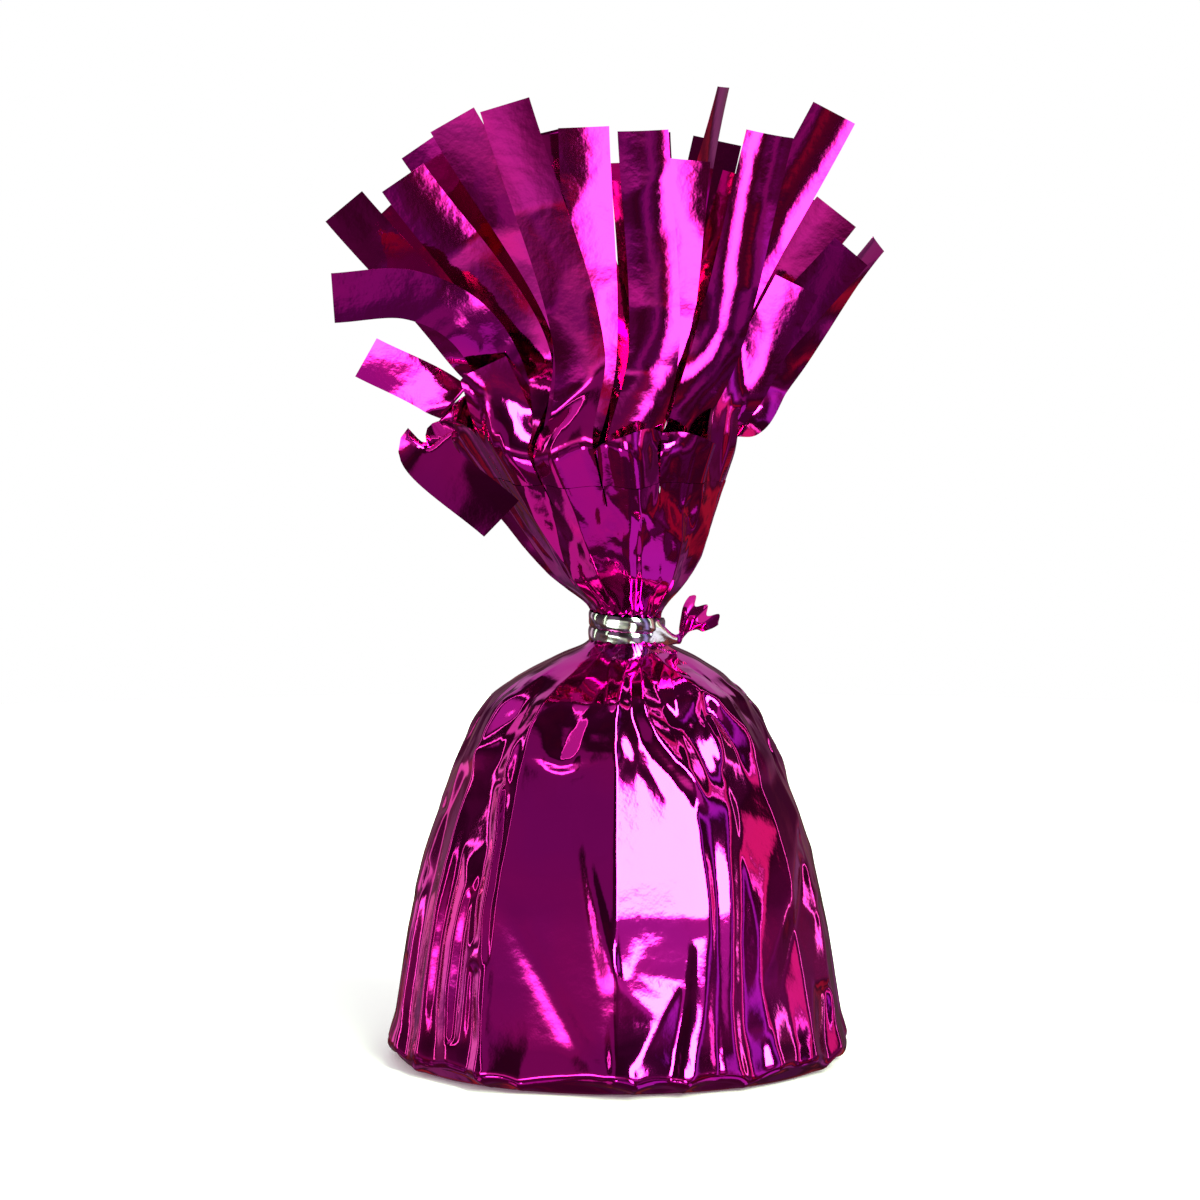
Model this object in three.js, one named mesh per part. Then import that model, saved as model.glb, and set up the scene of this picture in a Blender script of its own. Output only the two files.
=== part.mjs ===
// Foil balloon weight: a cup of cast ballast on a card, wrapped in metallised film.
// The film is drawn up over the cup, bound at the neck with a strip of the same film
// wound silver side out, and opens above it into a collar that is slit into a fringe.
// Millimetres, +Z up. The origin is the centre of the base, on the surface it stands on.
// The front, which faces -Y, is at 0 degrees, and angles grow towards +X.
import * as THREE from "three";

const DEG = Math.PI / 180;

// Gaps and sheet thicknesses
const clearance = 0.3;
const filmThickness = 0.4;
const stripThickness = 0.26;
const tieThickness = 0.5;

// Base card
const cardThickness = 1.6;

// Ballast cup, mouth down: its radius falls from the mouth to the crown as a full dome
const mouthRadius = 30.2;
const crownRadius = 12.3;
const cupHeight = 51.5;
const domeCurve = 1.6;
const domeFullness = 0.55;
const cupWall = 0.8;
const flangeWidth = 0.9;
const flangeThickness = 0.9;

// Film above the cup: the bound neck, and the open collar that carries the fringe
const neckRadius = 4.2;
const neckChannel = 1.4;
const neckRise = 4.5;
const neckHeight = 6.2;
const neckLean = 1.3;
const collarHeight = 18.2;
const collarRimRadius = 15.8;
const collarFlare = 0.65;
const collarLean = -3.6;
const baseEdge = 0.3;

// Depth of the film's pleats at the neck and at the collar's rim, and at the base edge as
// a share of their depth over the cup
const neckPleatDepth = 0.5;
const collarPleatDepth = 2;
const basePleatShare = 0.35;

// Tie strip, wound round the neck, and its fanned tail
const tieTurns = 1.78;
const tieWidth = 1.75;
const tiePitch = 2.2;
const tieEndAngle = 40;
const tabLength = 4;
const tabWidth = 1.5;
const tailLength = 6.3;
const tailWidth = 5.8;
const tailPleats = 4;
const tailPleatDepth = 0.5;

// Fringe strips
const stripWidth = 7;
const rimRise = 2;
const turningShare = 0.4;

// Colours of the photographed finishes
const finishes = {
  film: { color: 0xb0137e, metalness: 1, roughness: 0.12 },
  tie: { color: 0xc9ccd0, metalness: 1, roughness: 0.15 },
  card: { color: 0xa38a66, metalness: 0, roughness: 0.9 },
  cup: { color: 0xe8e8e4, metalness: 0, roughness: 0.5 },
  ballast: { color: 0x9b958a, metalness: 0, roughness: 0.95 },
};

// Heights that follow from the sizes above
const cardBottom = filmThickness + clearance;
const cupBottom = cardBottom + cardThickness + clearance;
const cupTop = cupBottom + cupHeight;
const neckBottom = cupTop + neckRise;
const neckTop = neckBottom + neckHeight;
const collarTop = neckTop + collarHeight;

const turnedSteps = 48;
const domeRings = 5;
const smooth = (t) => t * t * (3 - 2 * t);
const clamp01 = (t) => Math.min(1, Math.max(0, t));
const mix = (a, b, t) => a + (b - a) * t;

// A unit vector away from the axis, at an angle counted from the front.
function outward(angle) {
  return new THREE.Vector3(Math.sin(angle * DEG), -Math.cos(angle * DEG), 0);
}

// The same angle's sideways direction.
function sideways(angle) {
  return new THREE.Vector3(Math.cos(angle * DEG), Math.sin(angle * DEG), 0);
}

// The film is gathered a little to the right of the cup's axis, and the collar leans left.
function axisAt(z) {
  const gathered = neckLean * smooth(clamp01((z - cupTop) / neckRise));
  return gathered + collarLean * clamp01((z - neckTop) / collarHeight);
}

// Makes a geometry of vertices and triangles, and turns it outside out if needed.
function closedGeometry(vertices, triangles) {
  let volume = 0;
  for (const [a, b, c] of triangles) {
    volume += vertices[a].dot(vertices[b].clone().cross(vertices[c]));
  }
  const faces = volume < 0 ? triangles.map(([a, b, c]) => [a, c, b]) : triangles;
  const geometry = new THREE.BufferGeometry().setFromPoints(vertices);
  geometry.setIndex(faces.flat());
  geometry.computeVertexNormals();
  return geometry;
}

// A sheet of even thickness. point(u, v) is its middle, u along it and v across it.
function sheetGeometry(point, rows, columns, thickness) {
  const nudge = 1e-3;
  const vertices = [];
  const at = (side, i, j) => (side * (rows + 1) + i) * (columns + 1) + j;
  for (const side of [1, -1]) {
    for (let i = 0; i <= rows; i++) {
      for (let j = 0; j <= columns; j++) {
        const [u, v] = [i / rows, j / columns];
        const along = point(Math.min(1, u + nudge), v).sub(point(Math.max(0, u - nudge), v));
        const across = point(u, Math.min(1, v + nudge)).sub(point(u, Math.max(0, v - nudge)));
        const normal = along.cross(across).normalize();
        vertices.push(point(u, v).addScaledVector(normal, (side * thickness) / 2));
      }
    }
  }
  const triangles = [];
  const quad = (a, b, c, d) => triangles.push([a, b, c], [a, c, d]);
  for (let i = 0; i < rows; i++) {
    for (let j = 0; j < columns; j++) {
      quad(at(0, i, j), at(0, i + 1, j), at(0, i + 1, j + 1), at(0, i, j + 1));
      quad(at(1, i, j), at(1, i, j + 1), at(1, i + 1, j + 1), at(1, i + 1, j));
    }
    quad(at(0, i, 0), at(1, i, 0), at(1, i + 1, 0), at(0, i + 1, 0));
    quad(at(0, i + 1, columns), at(1, i + 1, columns), at(1, i, columns), at(0, i, columns));
  }
  for (let j = 0; j < columns; j++) {
    quad(at(0, 0, j + 1), at(1, 0, j + 1), at(1, 0, j), at(0, 0, j));
    quad(at(0, rows, j), at(1, rows, j), at(1, rows, j + 1), at(0, rows, j + 1));
  }
  return closedGeometry(vertices, triangles);
}

// The cup's outside radius, at a share of its height.
function cupRadius(share) {
  const drawnIn = (1 - share ** domeCurve) ** domeFullness;
  return crownRadius + (mouthRadius - crownRadius) * drawnIn;
}

// The cup's outline from the mouth up to the crown, drawn in by an inset all over.
function cupOutline(inset) {
  const outline = [];
  for (let i = 0; i <= domeRings; i++) {
    const share = Math.sin((i / domeRings) * 90 * DEG);
    outline.push([cupRadius(share) - inset, cupBottom + share * (cupHeight - inset)]);
  }
  return outline;
}

// The collar's outside radius between its folds, drawn as three straight stretches.
const collarKnots = [0, 0.12, 0.45, 1];

function collarRadius(z) {
  const share = clamp01((z - neckTop) / collarHeight);
  const last = collarKnots.findIndex((knot) => knot >= Math.max(share, collarKnots[1]));
  const [low, high] = [collarKnots[last - 1], collarKnots[last]];
  const flare = mix(low ** collarFlare, high ** collarFlare, (share - low) / (high - low));
  return mix(neckRadius, collarRimRadius, flare);
}

// The film's pleats, which run from the base up through the neck to the rim: the angle of
// each crest, how far it stands out over the cup, and the width of its foot in degrees.
const pleats = [
  { angle: -86, depth: 1.4, foot: 11 },
  { angle: -62, depth: 2.4, foot: 12 },
  { angle: -38, depth: 2.2, foot: 10 },
  { angle: 3, depth: 1.2, foot: 8 },
  { angle: 24, depth: 1.6, foot: 9 },
  { angle: 38, depth: 2.4, foot: 8 },
  { angle: 54, depth: 2.6, foot: 9 },
  { angle: 74, depth: 1.8, foot: 10 },
  { angle: 98, depth: 1.6, foot: 12 },
  { angle: 124, depth: 2.4, foot: 13 },
  { angle: 150, depth: 2, foot: 13 },
  { angle: 176, depth: 2.5, foot: 13 },
  { angle: 202, depth: 2.1, foot: 13 },
  { angle: 228, depth: 2.6, foot: 13 },
  { angle: 252, depth: 2, foot: 12 },
];

// Between two pleats the film lies against the cup, in flats of no more than this angle.
const widestFlat = 14;

// Directions round the film: the foot, crest and foot of each pleat, then the flats up to
// the next one. Only a crest has a depth.
const directions = pleats.flatMap(({ angle, depth, foot }, k) => {
  const next = pleats[(k + 1) % pleats.length];
  const leaves = angle + foot / 2;
  const meets = next.angle + (k + 1 < pleats.length ? 0 : 360) - next.foot / 2;
  const flats = Math.ceil((meets - leaves) / widestFlat);
  const between = Array.from({ length: flats - 1 }, (_, i) => {
    return { angle: mix(leaves, meets, (i + 1) / flats), depth: 0 };
  });
  return [
    { angle: angle - foot / 2, depth: 0 },
    { angle, depth },
    { angle: leaves, depth: 0 },
    ...between,
  ];
});

// How far a crest stands out at a height: less at the base edge, and least at the neck.
function pleatDepth(depth, z) {
  const middle = cupBottom + cupHeight / 2;
  const leaving = smooth(clamp01((z - middle) / (neckBottom - middle)));
  const skirt = depth * mix(basePleatShare, 1, smooth(clamp01((4 * z) / cupHeight)));
  const opening = clamp01((z - neckTop) / collarHeight);
  const gathered = mix(neckPleatDepth, collarPleatDepth, opening);
  return z > neckBottom ? gathered : mix(skirt, neckPleatDepth, leaving);
}

// The film's half section, from the middle of its floor out and up to the collar's rim.
function filmOutline(outset, neck) {
  const wall = cupOutline(-clearance - outset).slice(1, -1);
  const skirt = mouthRadius + flangeWidth + clearance + outset;
  const flangeTop = cupBottom + flangeThickness + clearance;
  const floor = filmThickness - outset;
  const edge = outset > 0 ? baseEdge : 0;
  const crown = cupTop + clearance + outset;
  const squeeze = filmThickness - outset;
  const collar = collarKnots.slice(1).map((knot) => {
    const z = neckTop + knot * collarHeight;
    return [collarRadius(z) - squeeze, z];
  });
  return [
    [0, floor],
    [skirt - edge, floor],
    [skirt, floor + edge],
    [skirt, flangeTop],
    ...wall,
    [crownRadius + clearance + outset, crown],
    [neck, neckBottom - squeeze],
    [neck, neckTop + squeeze],
    ...collar,
  ];
}

// The wrap: one folded skin, out along the floor, up to the rim and back down inside.
function filmWrap() {
  const outside = filmOutline(filmThickness, neckRadius);
  const inside = filmOutline(0, neckChannel);
  const vertices = [];
  const rings = [...outside, ...inside.reverse()].map(([radius, z]) => {
    const first = vertices.length;
    const steps = radius === 0 ? directions.slice(0, 1) : directions;
    const pleated = z > filmThickness && radius !== neckChannel;
    for (const { angle, depth } of steps) {
      const reach = radius + (pleated && depth > 0 ? pleatDepth(depth, z) : 0);
      const point = outward(angle).multiplyScalar(radius === 0 ? 0 : reach);
      vertices.push(point.add(new THREE.Vector3(axisAt(z), 0, z)));
    }
    return { first, count: steps.length };
  });
  const triangles = [];
  for (let k = 0; k + 1 < rings.length; k++) {
    const [low, high] = [rings[k], rings[k + 1]];
    for (let i = 0; i < directions.length; i++) {
      const [a, b] = [low.first + (i % low.count), low.first + ((i + 1) % low.count)];
      const [c, d] = [high.first + (i % high.count), high.first + ((i + 1) % high.count)];
      if (low.count > 1) triangles.push([a, b, d]);
      if (high.count > 1) triangles.push([a, d, c]);
    }
  }
  return closedGeometry(vertices, triangles);
}

// Turns a half section about Z, from points of radius and height.
function turned(section) {
  const points = section.map(([radius, z]) => new THREE.Vector2(radius, z));
  const geometry = new THREE.LatheGeometry(points, turnedSteps);
  return geometry.rotateX(Math.PI / 2);
}

function baseCard() {
  const top = cardBottom + cardThickness;
  return turned([
    [0, cardBottom],
    [mouthRadius, cardBottom],
    [mouthRadius, top],
    [0, top],
  ]);
}

function ballastCup() {
  const outside = cupOutline(0);
  const inside = cupOutline(cupWall).reverse();
  const flange = mouthRadius + flangeWidth;
  return turned([
    [0, cupTop - cupWall],
    ...inside,
    [flange, cupBottom],
    [flange, cupBottom + flangeThickness],
    [mouthRadius - 0.1 * flangeWidth, cupBottom + flangeThickness],
    ...outside.slice(1),
    [0, cupTop],
  ]);
}

function ballastFill() {
  const outline = cupOutline(cupWall + clearance);
  return turned([[0, cupBottom], ...outline, [0, outline.at(-1)[1]]]);
}

// The tie: a band that falls in a spiral about the neck, then a tab that runs off sideways.
const tieRadius = neckRadius + neckPleatDepth + clearance + tieThickness / 2;
const tieLow = neckBottom + clearance + tieWidth / 2;

function tiePoint(share) {
  const angle = tieEndAngle - 360 * tieTurns * (1 - share);
  const z = tieLow + tiePitch * tieTurns * (1 - share);
  return outward(angle).multiplyScalar(tieRadius).add(new THREE.Vector3(neckLean, 0, z));
}

function tieStrip() {
  const turnLength = 2 * Math.PI * tieRadius * tieTurns;
  const wound = turnLength / (turnLength + tabLength);
  const rows = 54;
  return sheetGeometry(
    (u, v) => {
      const onTab = clamp01((u - wound) / (1 - wound));
      const middle = tiePoint(Math.min(1, u / wound));
      middle.addScaledVector(sideways(tieEndAngle), onTab * tabLength);
      middle.z += mix(tieWidth, tabWidth, onTab) * (v - 0.5);
      return middle;
    },
    rows,
    1,
    tieThickness,
  );
}

// The least gap between one turn of the tie and the next, measured on its edges.
function tieGap() {
  const samples = 240;
  let least = Infinity;
  for (let i = 0; i < samples; i++) {
    for (let j = 0; j < samples; j++) {
      const turnsApart = (Math.abs(i - j) / samples) * tieTurns;
      if (turnsApart < 0.5) continue;
      const gap = tiePoint(i / samples).distanceTo(tiePoint(j / samples)) - tieWidth;
      least = Math.min(least, gap);
    }
  }
  return least;
}

// The tail: narrow where it leaves the tab, opening into a pleated fan with a ragged end.
function tieTail() {
  const run = sideways(tieEndAngle);
  const start = tiePoint(1).addScaledVector(run, tabLength + clearance);
  const lift = new THREE.Vector3(0.7, -0.1, 0.7).normalize();
  return sheetGeometry(
    (u, v) => {
      const width = mix(tabWidth, tailWidth, smooth(u));
      const ragged = 1 + 0.1 * Math.sin(17 * v) * u;
      const bend = smooth(clamp01(u * 1.4));
      const heading = run.clone().lerp(lift, bend).normalize();
      const middle = start.clone().addScaledVector(heading, tailLength * u * ragged);
      const open = new THREE.Vector3(0, 0, 1).lerp(new THREE.Vector3(0.75, -0.2, -0.6), bend);
      const pleat = Math.abs(((v * tailPleats) % 2) - 1) - 0.5;
      middle.addScaledVector(open.normalize(), width * (v - 0.5));
      middle.y += pleat * tailPleatDepth * u;
      return middle;
    },
    8,
    8,
    stripThickness,
  );
}

// Rings of strips, outermost first: where each starts inside the collar, as a share of its
// height, and how far it leans out, as a share of the collar's own slope.
const rings = [
  { start: 0.94, lean: 0.8 },
  { start: 0.76, lean: 0.2 },
  { start: 0.58, lean: 0.15 },
  { start: 0.41, lean: 0.1 },
  { start: 0.25, lean: 0 },
];

// Each strip: its ring, its angle from the front, the points that it passes and its cut
// end, counted from where it leaves the collar, and the turn of that end from facing
// squarely forward, in degrees. A back strip faces rearward instead.
const strips = [
  // Outermost ring
  { ring: 0, angle: -165, way: [[4, 5, 10]], end: [0, 15, 23], turn: 5, back: true },
  { ring: 0, angle: -135, way: [[0, 5, 11]], end: [-8, 14, 27], turn: -8, back: true },
  { ring: 0, angle: -105, way: [[-6, 0, 8]], end: [-18, -1, 14.5], turn: -10 },
  { ring: 0, angle: -75, way: [[-5.5, -3, 4], [-9.5, -5, 2.5]], end: [1.5, -10.5, -7], turn: -22 },
  { ring: 0, angle: -45, way: [[-1.5, -1.8, 6]], end: [-5, -2.6, 14], turn: 12 },
  { ring: 0, angle: -15, way: [[1.4, -2.5, 16]], end: [-8.8, -5, 50], turn: 4 },
  { ring: 0, angle: 15, way: [[0.6, -0.8, 2.4]], end: [1.5, -1.8, 5.6], turn: 0 },
  { ring: 0, angle: 45, way: [[1.1, -0.9, 2]], end: [1.2, -1.9, 4.2], turn: 0 },
  { ring: 0, angle: 75, way: [[6, -0.2, 12]], end: [12.8, -2.2, 25], turn: 8 },
  { ring: 0, angle: 105, way: [[9, 1, 10]], end: [24, 4, 31], turn: 60 },
  { ring: 0, angle: 135, way: [[8, 4, 11]], end: [16, 13, 27], turn: 14, back: true },
  { ring: 0, angle: 165, way: [[4, 5, 11]], end: [8, 14, 31], turn: -6, back: true },
  // Second ring
  { ring: 1, angle: -162, way: [[2, 1.5, 14]], end: [-2, 9.5, 39], turn: 8, back: true },
  { ring: 1, angle: -126, way: [[0.5, 1.5, 13]], end: [-12.5, 7.5, 36], turn: 4, back: true },
  { ring: 1, angle: -90, way: [[-3, -2, 12]], end: [-22.5, -2, 36], turn: -6 },
  { ring: 1, angle: -54, way: [[-3, -3.3, 13], [-8, -6.5, 20.5], [-15.5, -7.5, 24]], end: [-26, -7.5, 23.5], turn: 4 },
  { ring: 1, angle: -18, way: [[3, -1, 15]], end: [2, -4.5, 47], turn: 8 },
  { ring: 1, angle: 18, way: [[3.5, -1, 15]], end: [2, -5, 46.5], turn: -4 },
  { ring: 1, angle: 54, way: [[5.5, -3.5, 15]], end: [13, -8.5, 46], turn: 14 },
  { ring: 1, angle: 90, way: [[8, 1, 13]], end: [22.5, 0, 29.5], turn: 20 },
  { ring: 1, angle: 126, way: [[5.5, 2.5, 13]], end: [19.5, 5.5, 37], turn: -8, back: true },
  { ring: 1, angle: 162, way: [[6, 1.5, 14]], end: [10, 8.5, 41], turn: 10, back: true },
  // Third ring
  { ring: 2, angle: -157, way: [[4, -0.5, 15]], end: [-0.5, 5.5, 45], turn: 6, back: true },
  { ring: 2, angle: -112, way: [[2, -1.5, 14]], end: [-18, 0.5, 36.5], turn: -5 },
  { ring: 2, angle: -67, way: [[0.5, -0.5, 15]], end: [-16.5, -3.5, 40], turn: 2 },
  { ring: 2, angle: -22, way: [[1.5, 1.5, 16]], end: [-2.5, 3, 46], turn: 4 },
  { ring: 2, angle: 23, way: [[4.5, 1, 16]], end: [7.5, -1.5, 42.5], turn: 8 },
  { ring: 2, angle: 66, way: [[4.5, -2, 16]], end: [22, -3.5, 49], turn: 12 },
  { ring: 2, angle: 113, way: [[6.5, 0, 14]], end: [23, 0.5, 35], turn: -14 },
  { ring: 2, angle: 158, way: [[3.5, -1, 15]], end: [2.5, 4, 46], turn: -9, back: true },
  // Fourth ring
  { ring: 3, angle: -150, way: [[3, -2.5, 15]], end: [-4, 1.5, 46], turn: -3, back: true },
  { ring: 3, angle: -90, way: [[4, -1.5, 16]], end: [-15, -1.5, 44.5], turn: -3 },
  { ring: 3, angle: -30, way: [[2.5, 4.5, 16]], end: [-15.5, 4, 48], turn: 5 },
  { ring: 3, angle: 30, way: [[4, 3, 16]], end: [12.5, 1.5, 52.5], turn: 70 },
  { ring: 3, angle: 90, way: [[4, 1.5, 16]], end: [11, 1.5, 40], turn: 5 },
  { ring: 3, angle: 150, way: [[5, -2.5, 15]], end: [12, 1.5, 45], turn: -5, back: true },
  // Innermost ring
  { ring: 4, angle: -110, way: [[7, -0.5, 15]], end: [-6, 0.5, 43], turn: 5 },
  { ring: 4, angle: -20, way: [[4, 4, 15]], end: [-4.5, 3.5, 46], turn: 14 },
  { ring: 4, angle: 70, way: [[0, 1.5, 15]], end: [1.5, 0.5, 41], turn: -10 },
  { ring: 4, angle: 160, way: [[4, -2, 15]], end: [2.5, -0.5, 42], turn: 20, back: true },
];

// A strip starts flat against the collar's inside, follows it up, and turns to its end.
function fringeStrip({ ring, angle, way, end, turn, back }) {
  const { start, lean } = rings[ring];
  const z = neckTop + start * collarHeight;
  const corner = collarRadius(z) - filmThickness - clearance - stripThickness;
  const radius = Math.sqrt(corner ** 2 - (stripWidth / 2) ** 2);
  const root = outward(angle).multiplyScalar(radius).add(new THREE.Vector3(axisAt(z), 0, z));
  const slope = (lean * (collarRimRadius - neckRadius)) / collarHeight;
  const axis = new THREE.Vector3(collarLean / collarHeight, 0, 1);
  const heading = outward(angle).multiplyScalar(slope).add(axis);
  const leaving = root.clone().addScaledVector(heading, collarTop + rimRise - z);
  const passed = [...way, end].map((p) => new THREE.Vector3(...p).add(leaving));
  const route = new THREE.CatmullRomCurve3([root, leaving, ...passed], false, "centripetal");
  const leftAt = route.points[1].distanceTo(root) / route.getLength();
  const facing = new THREE.Vector3(0, back ? 1 : -1, -0.25);
  const widthAt = (u) => {
    const along = route.getTangentAt(u);
    const square = along.clone().cross(facing).normalize();
    const held = sideways(angle);
    if (square.dot(held) < 0) square.negate();
    square.applyAxisAngle(along, turn * DEG * smooth(u));
    const across = held.lerp(square, smooth(clamp01((u - leftAt) / turningShare)));
    return across.addScaledVector(along, -across.dot(along)).normalize();
  };
  return sheetGeometry(
    (u, v) => route.getPointAt(u).addScaledVector(widthAt(u), (v - 0.5) * stripWidth),
    12,
    1,
    stripThickness,
  );
}

function piece(name, geometry, finish) {
  const mesh = new THREE.Mesh(geometry, new THREE.MeshStandardMaterial(finishes[finish]));
  mesh.name = name;
  return mesh;
}

const weight = new THREE.Group();
weight.add(piece("base_card", baseCard(), "card"));
weight.add(piece("ballast_cup", ballastCup(), "cup"));
weight.add(piece("ballast_fill", ballastFill(), "ballast"));
weight.add(piece("film_wrap", filmWrap(), "film"));
weight.add(piece("tie_strip", tieStrip(), "tie"));
weight.add(piece("tie_tail", tieTail(), "film"));
strips.forEach((strip, i) => {
  const name = `fringe_strip_${String(i + 1).padStart(2, "0")}`;
  weight.add(piece(name, fringeStrip(strip), "film"));
});
console.log(`least gap between the turns of the tie: ${tieGap().toFixed(2)} mm`);

export default weight;
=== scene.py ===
"""A foil balloon weight: metallised film drawn up over a weighted cup, bound at the neck
with a strip of the same film and slit above it into a fringe.

Lengths are written in millimetres and angles in degrees, and turned into metres and
radians where a mesh is made. +Z is up, the front faces -Y, and an angle round the weight
is counted from the front and grows towards +X.
"""

import math

import bpy
import numpy as np
from mathutils.geometry import delaunay_2d_cdt
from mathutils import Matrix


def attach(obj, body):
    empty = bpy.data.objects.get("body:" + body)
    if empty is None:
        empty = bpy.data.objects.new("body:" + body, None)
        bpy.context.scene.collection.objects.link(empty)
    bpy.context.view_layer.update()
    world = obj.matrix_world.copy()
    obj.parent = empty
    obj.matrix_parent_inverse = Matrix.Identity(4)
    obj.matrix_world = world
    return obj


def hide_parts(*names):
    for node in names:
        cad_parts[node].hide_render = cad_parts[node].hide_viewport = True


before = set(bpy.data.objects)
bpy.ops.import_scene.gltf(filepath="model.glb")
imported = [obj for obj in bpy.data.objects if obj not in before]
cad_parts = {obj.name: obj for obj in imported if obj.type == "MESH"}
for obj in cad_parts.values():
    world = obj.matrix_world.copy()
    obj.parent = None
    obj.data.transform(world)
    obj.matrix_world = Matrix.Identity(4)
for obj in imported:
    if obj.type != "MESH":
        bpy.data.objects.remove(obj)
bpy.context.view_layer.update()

MM = 0.001


def smooth(value, low=0.0, high=1.0):
    """Rises from 0 at low to 1 at high along t * t * (3 - 2 t), and stays flat outside."""
    t = np.clip((value - low) / (high - low), 0.0, 1.0)
    return t * t * (3.0 - 2.0 * t)


def outward(angle):
    """The unit vector away from the axis at an angle: (sin, -cos, 0)."""
    a = np.radians(angle)
    return np.stack([np.sin(a), -np.cos(a), np.zeros_like(a)], axis=-1)


def sideways(angle):
    """The unit vector round the weight at an angle: (cos, sin, 0)."""
    a = np.radians(angle)
    return np.stack([np.cos(a), np.sin(a), np.zeros_like(a)], axis=-1)


def unit(vectors):
    """Each vector divided by its own length."""
    return vectors / np.maximum(np.linalg.norm(vectors, axis=-1, keepdims=True), 1e-9)


def wrapped(angle):
    """An angle brought into the range from -180 to 180."""
    return (np.asarray(angle) + 180.0) % 360.0 - 180.0


def rounded_line(points, spacing, softness):
    """Points along a polyline at an even spacing, then averaged with a bell-shaped weight
    of the given softness, so that its corners become arcs while its ends stay put."""
    points = np.asarray(points, dtype=float)
    run = np.concatenate([[0.0], np.cumsum(np.linalg.norm(np.diff(points, axis=0), axis=1))])
    count = int(round(run[-1] / spacing)) + 1
    even = np.linspace(0.0, run[-1], count)
    line = np.stack([np.interp(even, run, points[:, k]) for k in range(points.shape[1])], 1)
    reach = int(math.ceil(3 * softness / spacing))
    weight = np.exp(-0.5 * (np.arange(-reach, reach + 1) * spacing / softness) ** 2)
    weight /= weight.sum()
    before = 2 * line[0] - line[reach:0:-1]
    after = 2 * line[-1] - line[-2 : -reach - 2 : -1]
    padded = np.concatenate([before, line, after])
    columns = [np.convolve(padded[:, k], weight, mode="valid") for k in range(line.shape[1])]
    return np.stack(columns, 1)


def surface(name, points, material, closed_round=False, cap_start=False, left_out=None):
    """Makes a piece from a grid of points, shaped (rows, columns, 3) and in millimetres.
    Each cell becomes a four-sided face, apart from the cells left out. closed_round joins
    the last column to the first, and cap_start closes the first row with a fan to its
    middle."""
    rows, columns = points.shape[:2]
    index = np.arange(rows * columns).reshape(rows, columns)
    if closed_round:
        index = np.concatenate([index, index[:, :1]], axis=1)
    quads = np.stack([index[:-1, :-1], index[:-1, 1:], index[1:, 1:], index[1:, :-1]], axis=-1)
    faces = (quads.reshape(-1, 4) if left_out is None else quads[~left_out]).tolist()
    vertices = points.reshape(-1, 3)
    if cap_start:
        middle = np.full(index.shape[1] - 1, len(vertices))
        vertices = np.concatenate([vertices, points[0].mean(axis=0)[None]])
        faces += np.stack([index[0, 1:], index[0, :-1], middle], axis=-1).tolist()
    mesh = bpy.data.meshes.new(name)
    mesh.from_pydata((vertices * MM).tolist(), [], faces)
    mesh.update()
    mesh.shade_smooth()
    mesh.materials.append(material)
    piece = bpy.data.objects.new(name, mesh)
    bpy.context.scene.collection.objects.link(piece)
    return piece


def thicken(piece, thickness):
    """Gives a sheet its thickness, in millimetres, evenly to both sides. Its cut edges,
    the ones that only one face uses, stay sharp."""
    mesh = piece.data
    used = np.empty(len(mesh.loops), dtype=np.int32)
    mesh.loops.foreach_get("edge_index", used)
    cut = np.bincount(used, minlength=len(mesh.edges)) == 1
    sharp = mesh.attributes.new("sharp_edge", "BOOLEAN", "EDGE")
    sharp.data.foreach_set("value", cut)
    shell = piece.modifiers.new("thickness", "SOLIDIFY")
    shell.thickness = thickness * MM
    shell.offset = 0.0


# The film's tint drifts over some 20 mm, between these readings of a noise, and a ripple
# 0.12 mm deep and a few millimetres wide disturbs its reflection. Scales are per metre.
DRIFT_SCALE = 55.0
DRIFT_FROM = 0.38
DRIFT_TO = 0.62
RIPPLE_SCALE = 420.0
RIPPLE_STRENGTH = 0.35
RIPPLE_DEPTH = 0.00012

# The dull finishes: the detail of their grain, its strength and its darkest shade
GRAIN_DETAIL = 6.0
GRAIN_STRENGTH = 0.4
GRAIN_DARKEST = 0.8


def new_material(name):
    """A material with its nodes, its links and its one shader."""
    material = bpy.data.materials.new(name)
    material.use_nodes = True
    nodes, links = material.node_tree.nodes, material.node_tree.links
    return material, nodes, links, nodes["Principled BSDF"]


def noise_over(nodes, links, scale, detail):
    """The reading of a noise at the piece's own coordinates."""
    place = nodes.new("ShaderNodeTexCoord")
    noise = nodes.new("ShaderNodeTexNoise")
    noise.inputs["Scale"].default_value = scale
    noise.inputs["Detail"].default_value = detail
    links.new(place.outputs["Object"], noise.inputs["Vector"])
    return noise.outputs["Fac"]


def colour_between(nodes, links, shader, first, second, share):
    """Gives the shader a base colour that goes from the first to the second by a share."""
    tint = nodes.new("ShaderNodeMix")
    tint.data_type = "RGBA"
    tint.inputs["A"].default_value = (*first, 1.0)
    tint.inputs["B"].default_value = (*second, 1.0)
    links.new(share, tint.inputs["Factor"])
    links.new(tint.outputs["Result"], shader.inputs["Base Color"])


def bump_from(nodes, links, shader, height, strength, depth):
    """Gives the shader a bump that follows a height, at most depth metres deep."""
    bump = nodes.new("ShaderNodeBump")
    bump.inputs["Strength"].default_value = strength
    bump.inputs["Distance"].default_value = depth
    links.new(height, bump.inputs["Height"])
    links.new(bump.outputs["Normal"], shader.inputs["Normal"])


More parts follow.
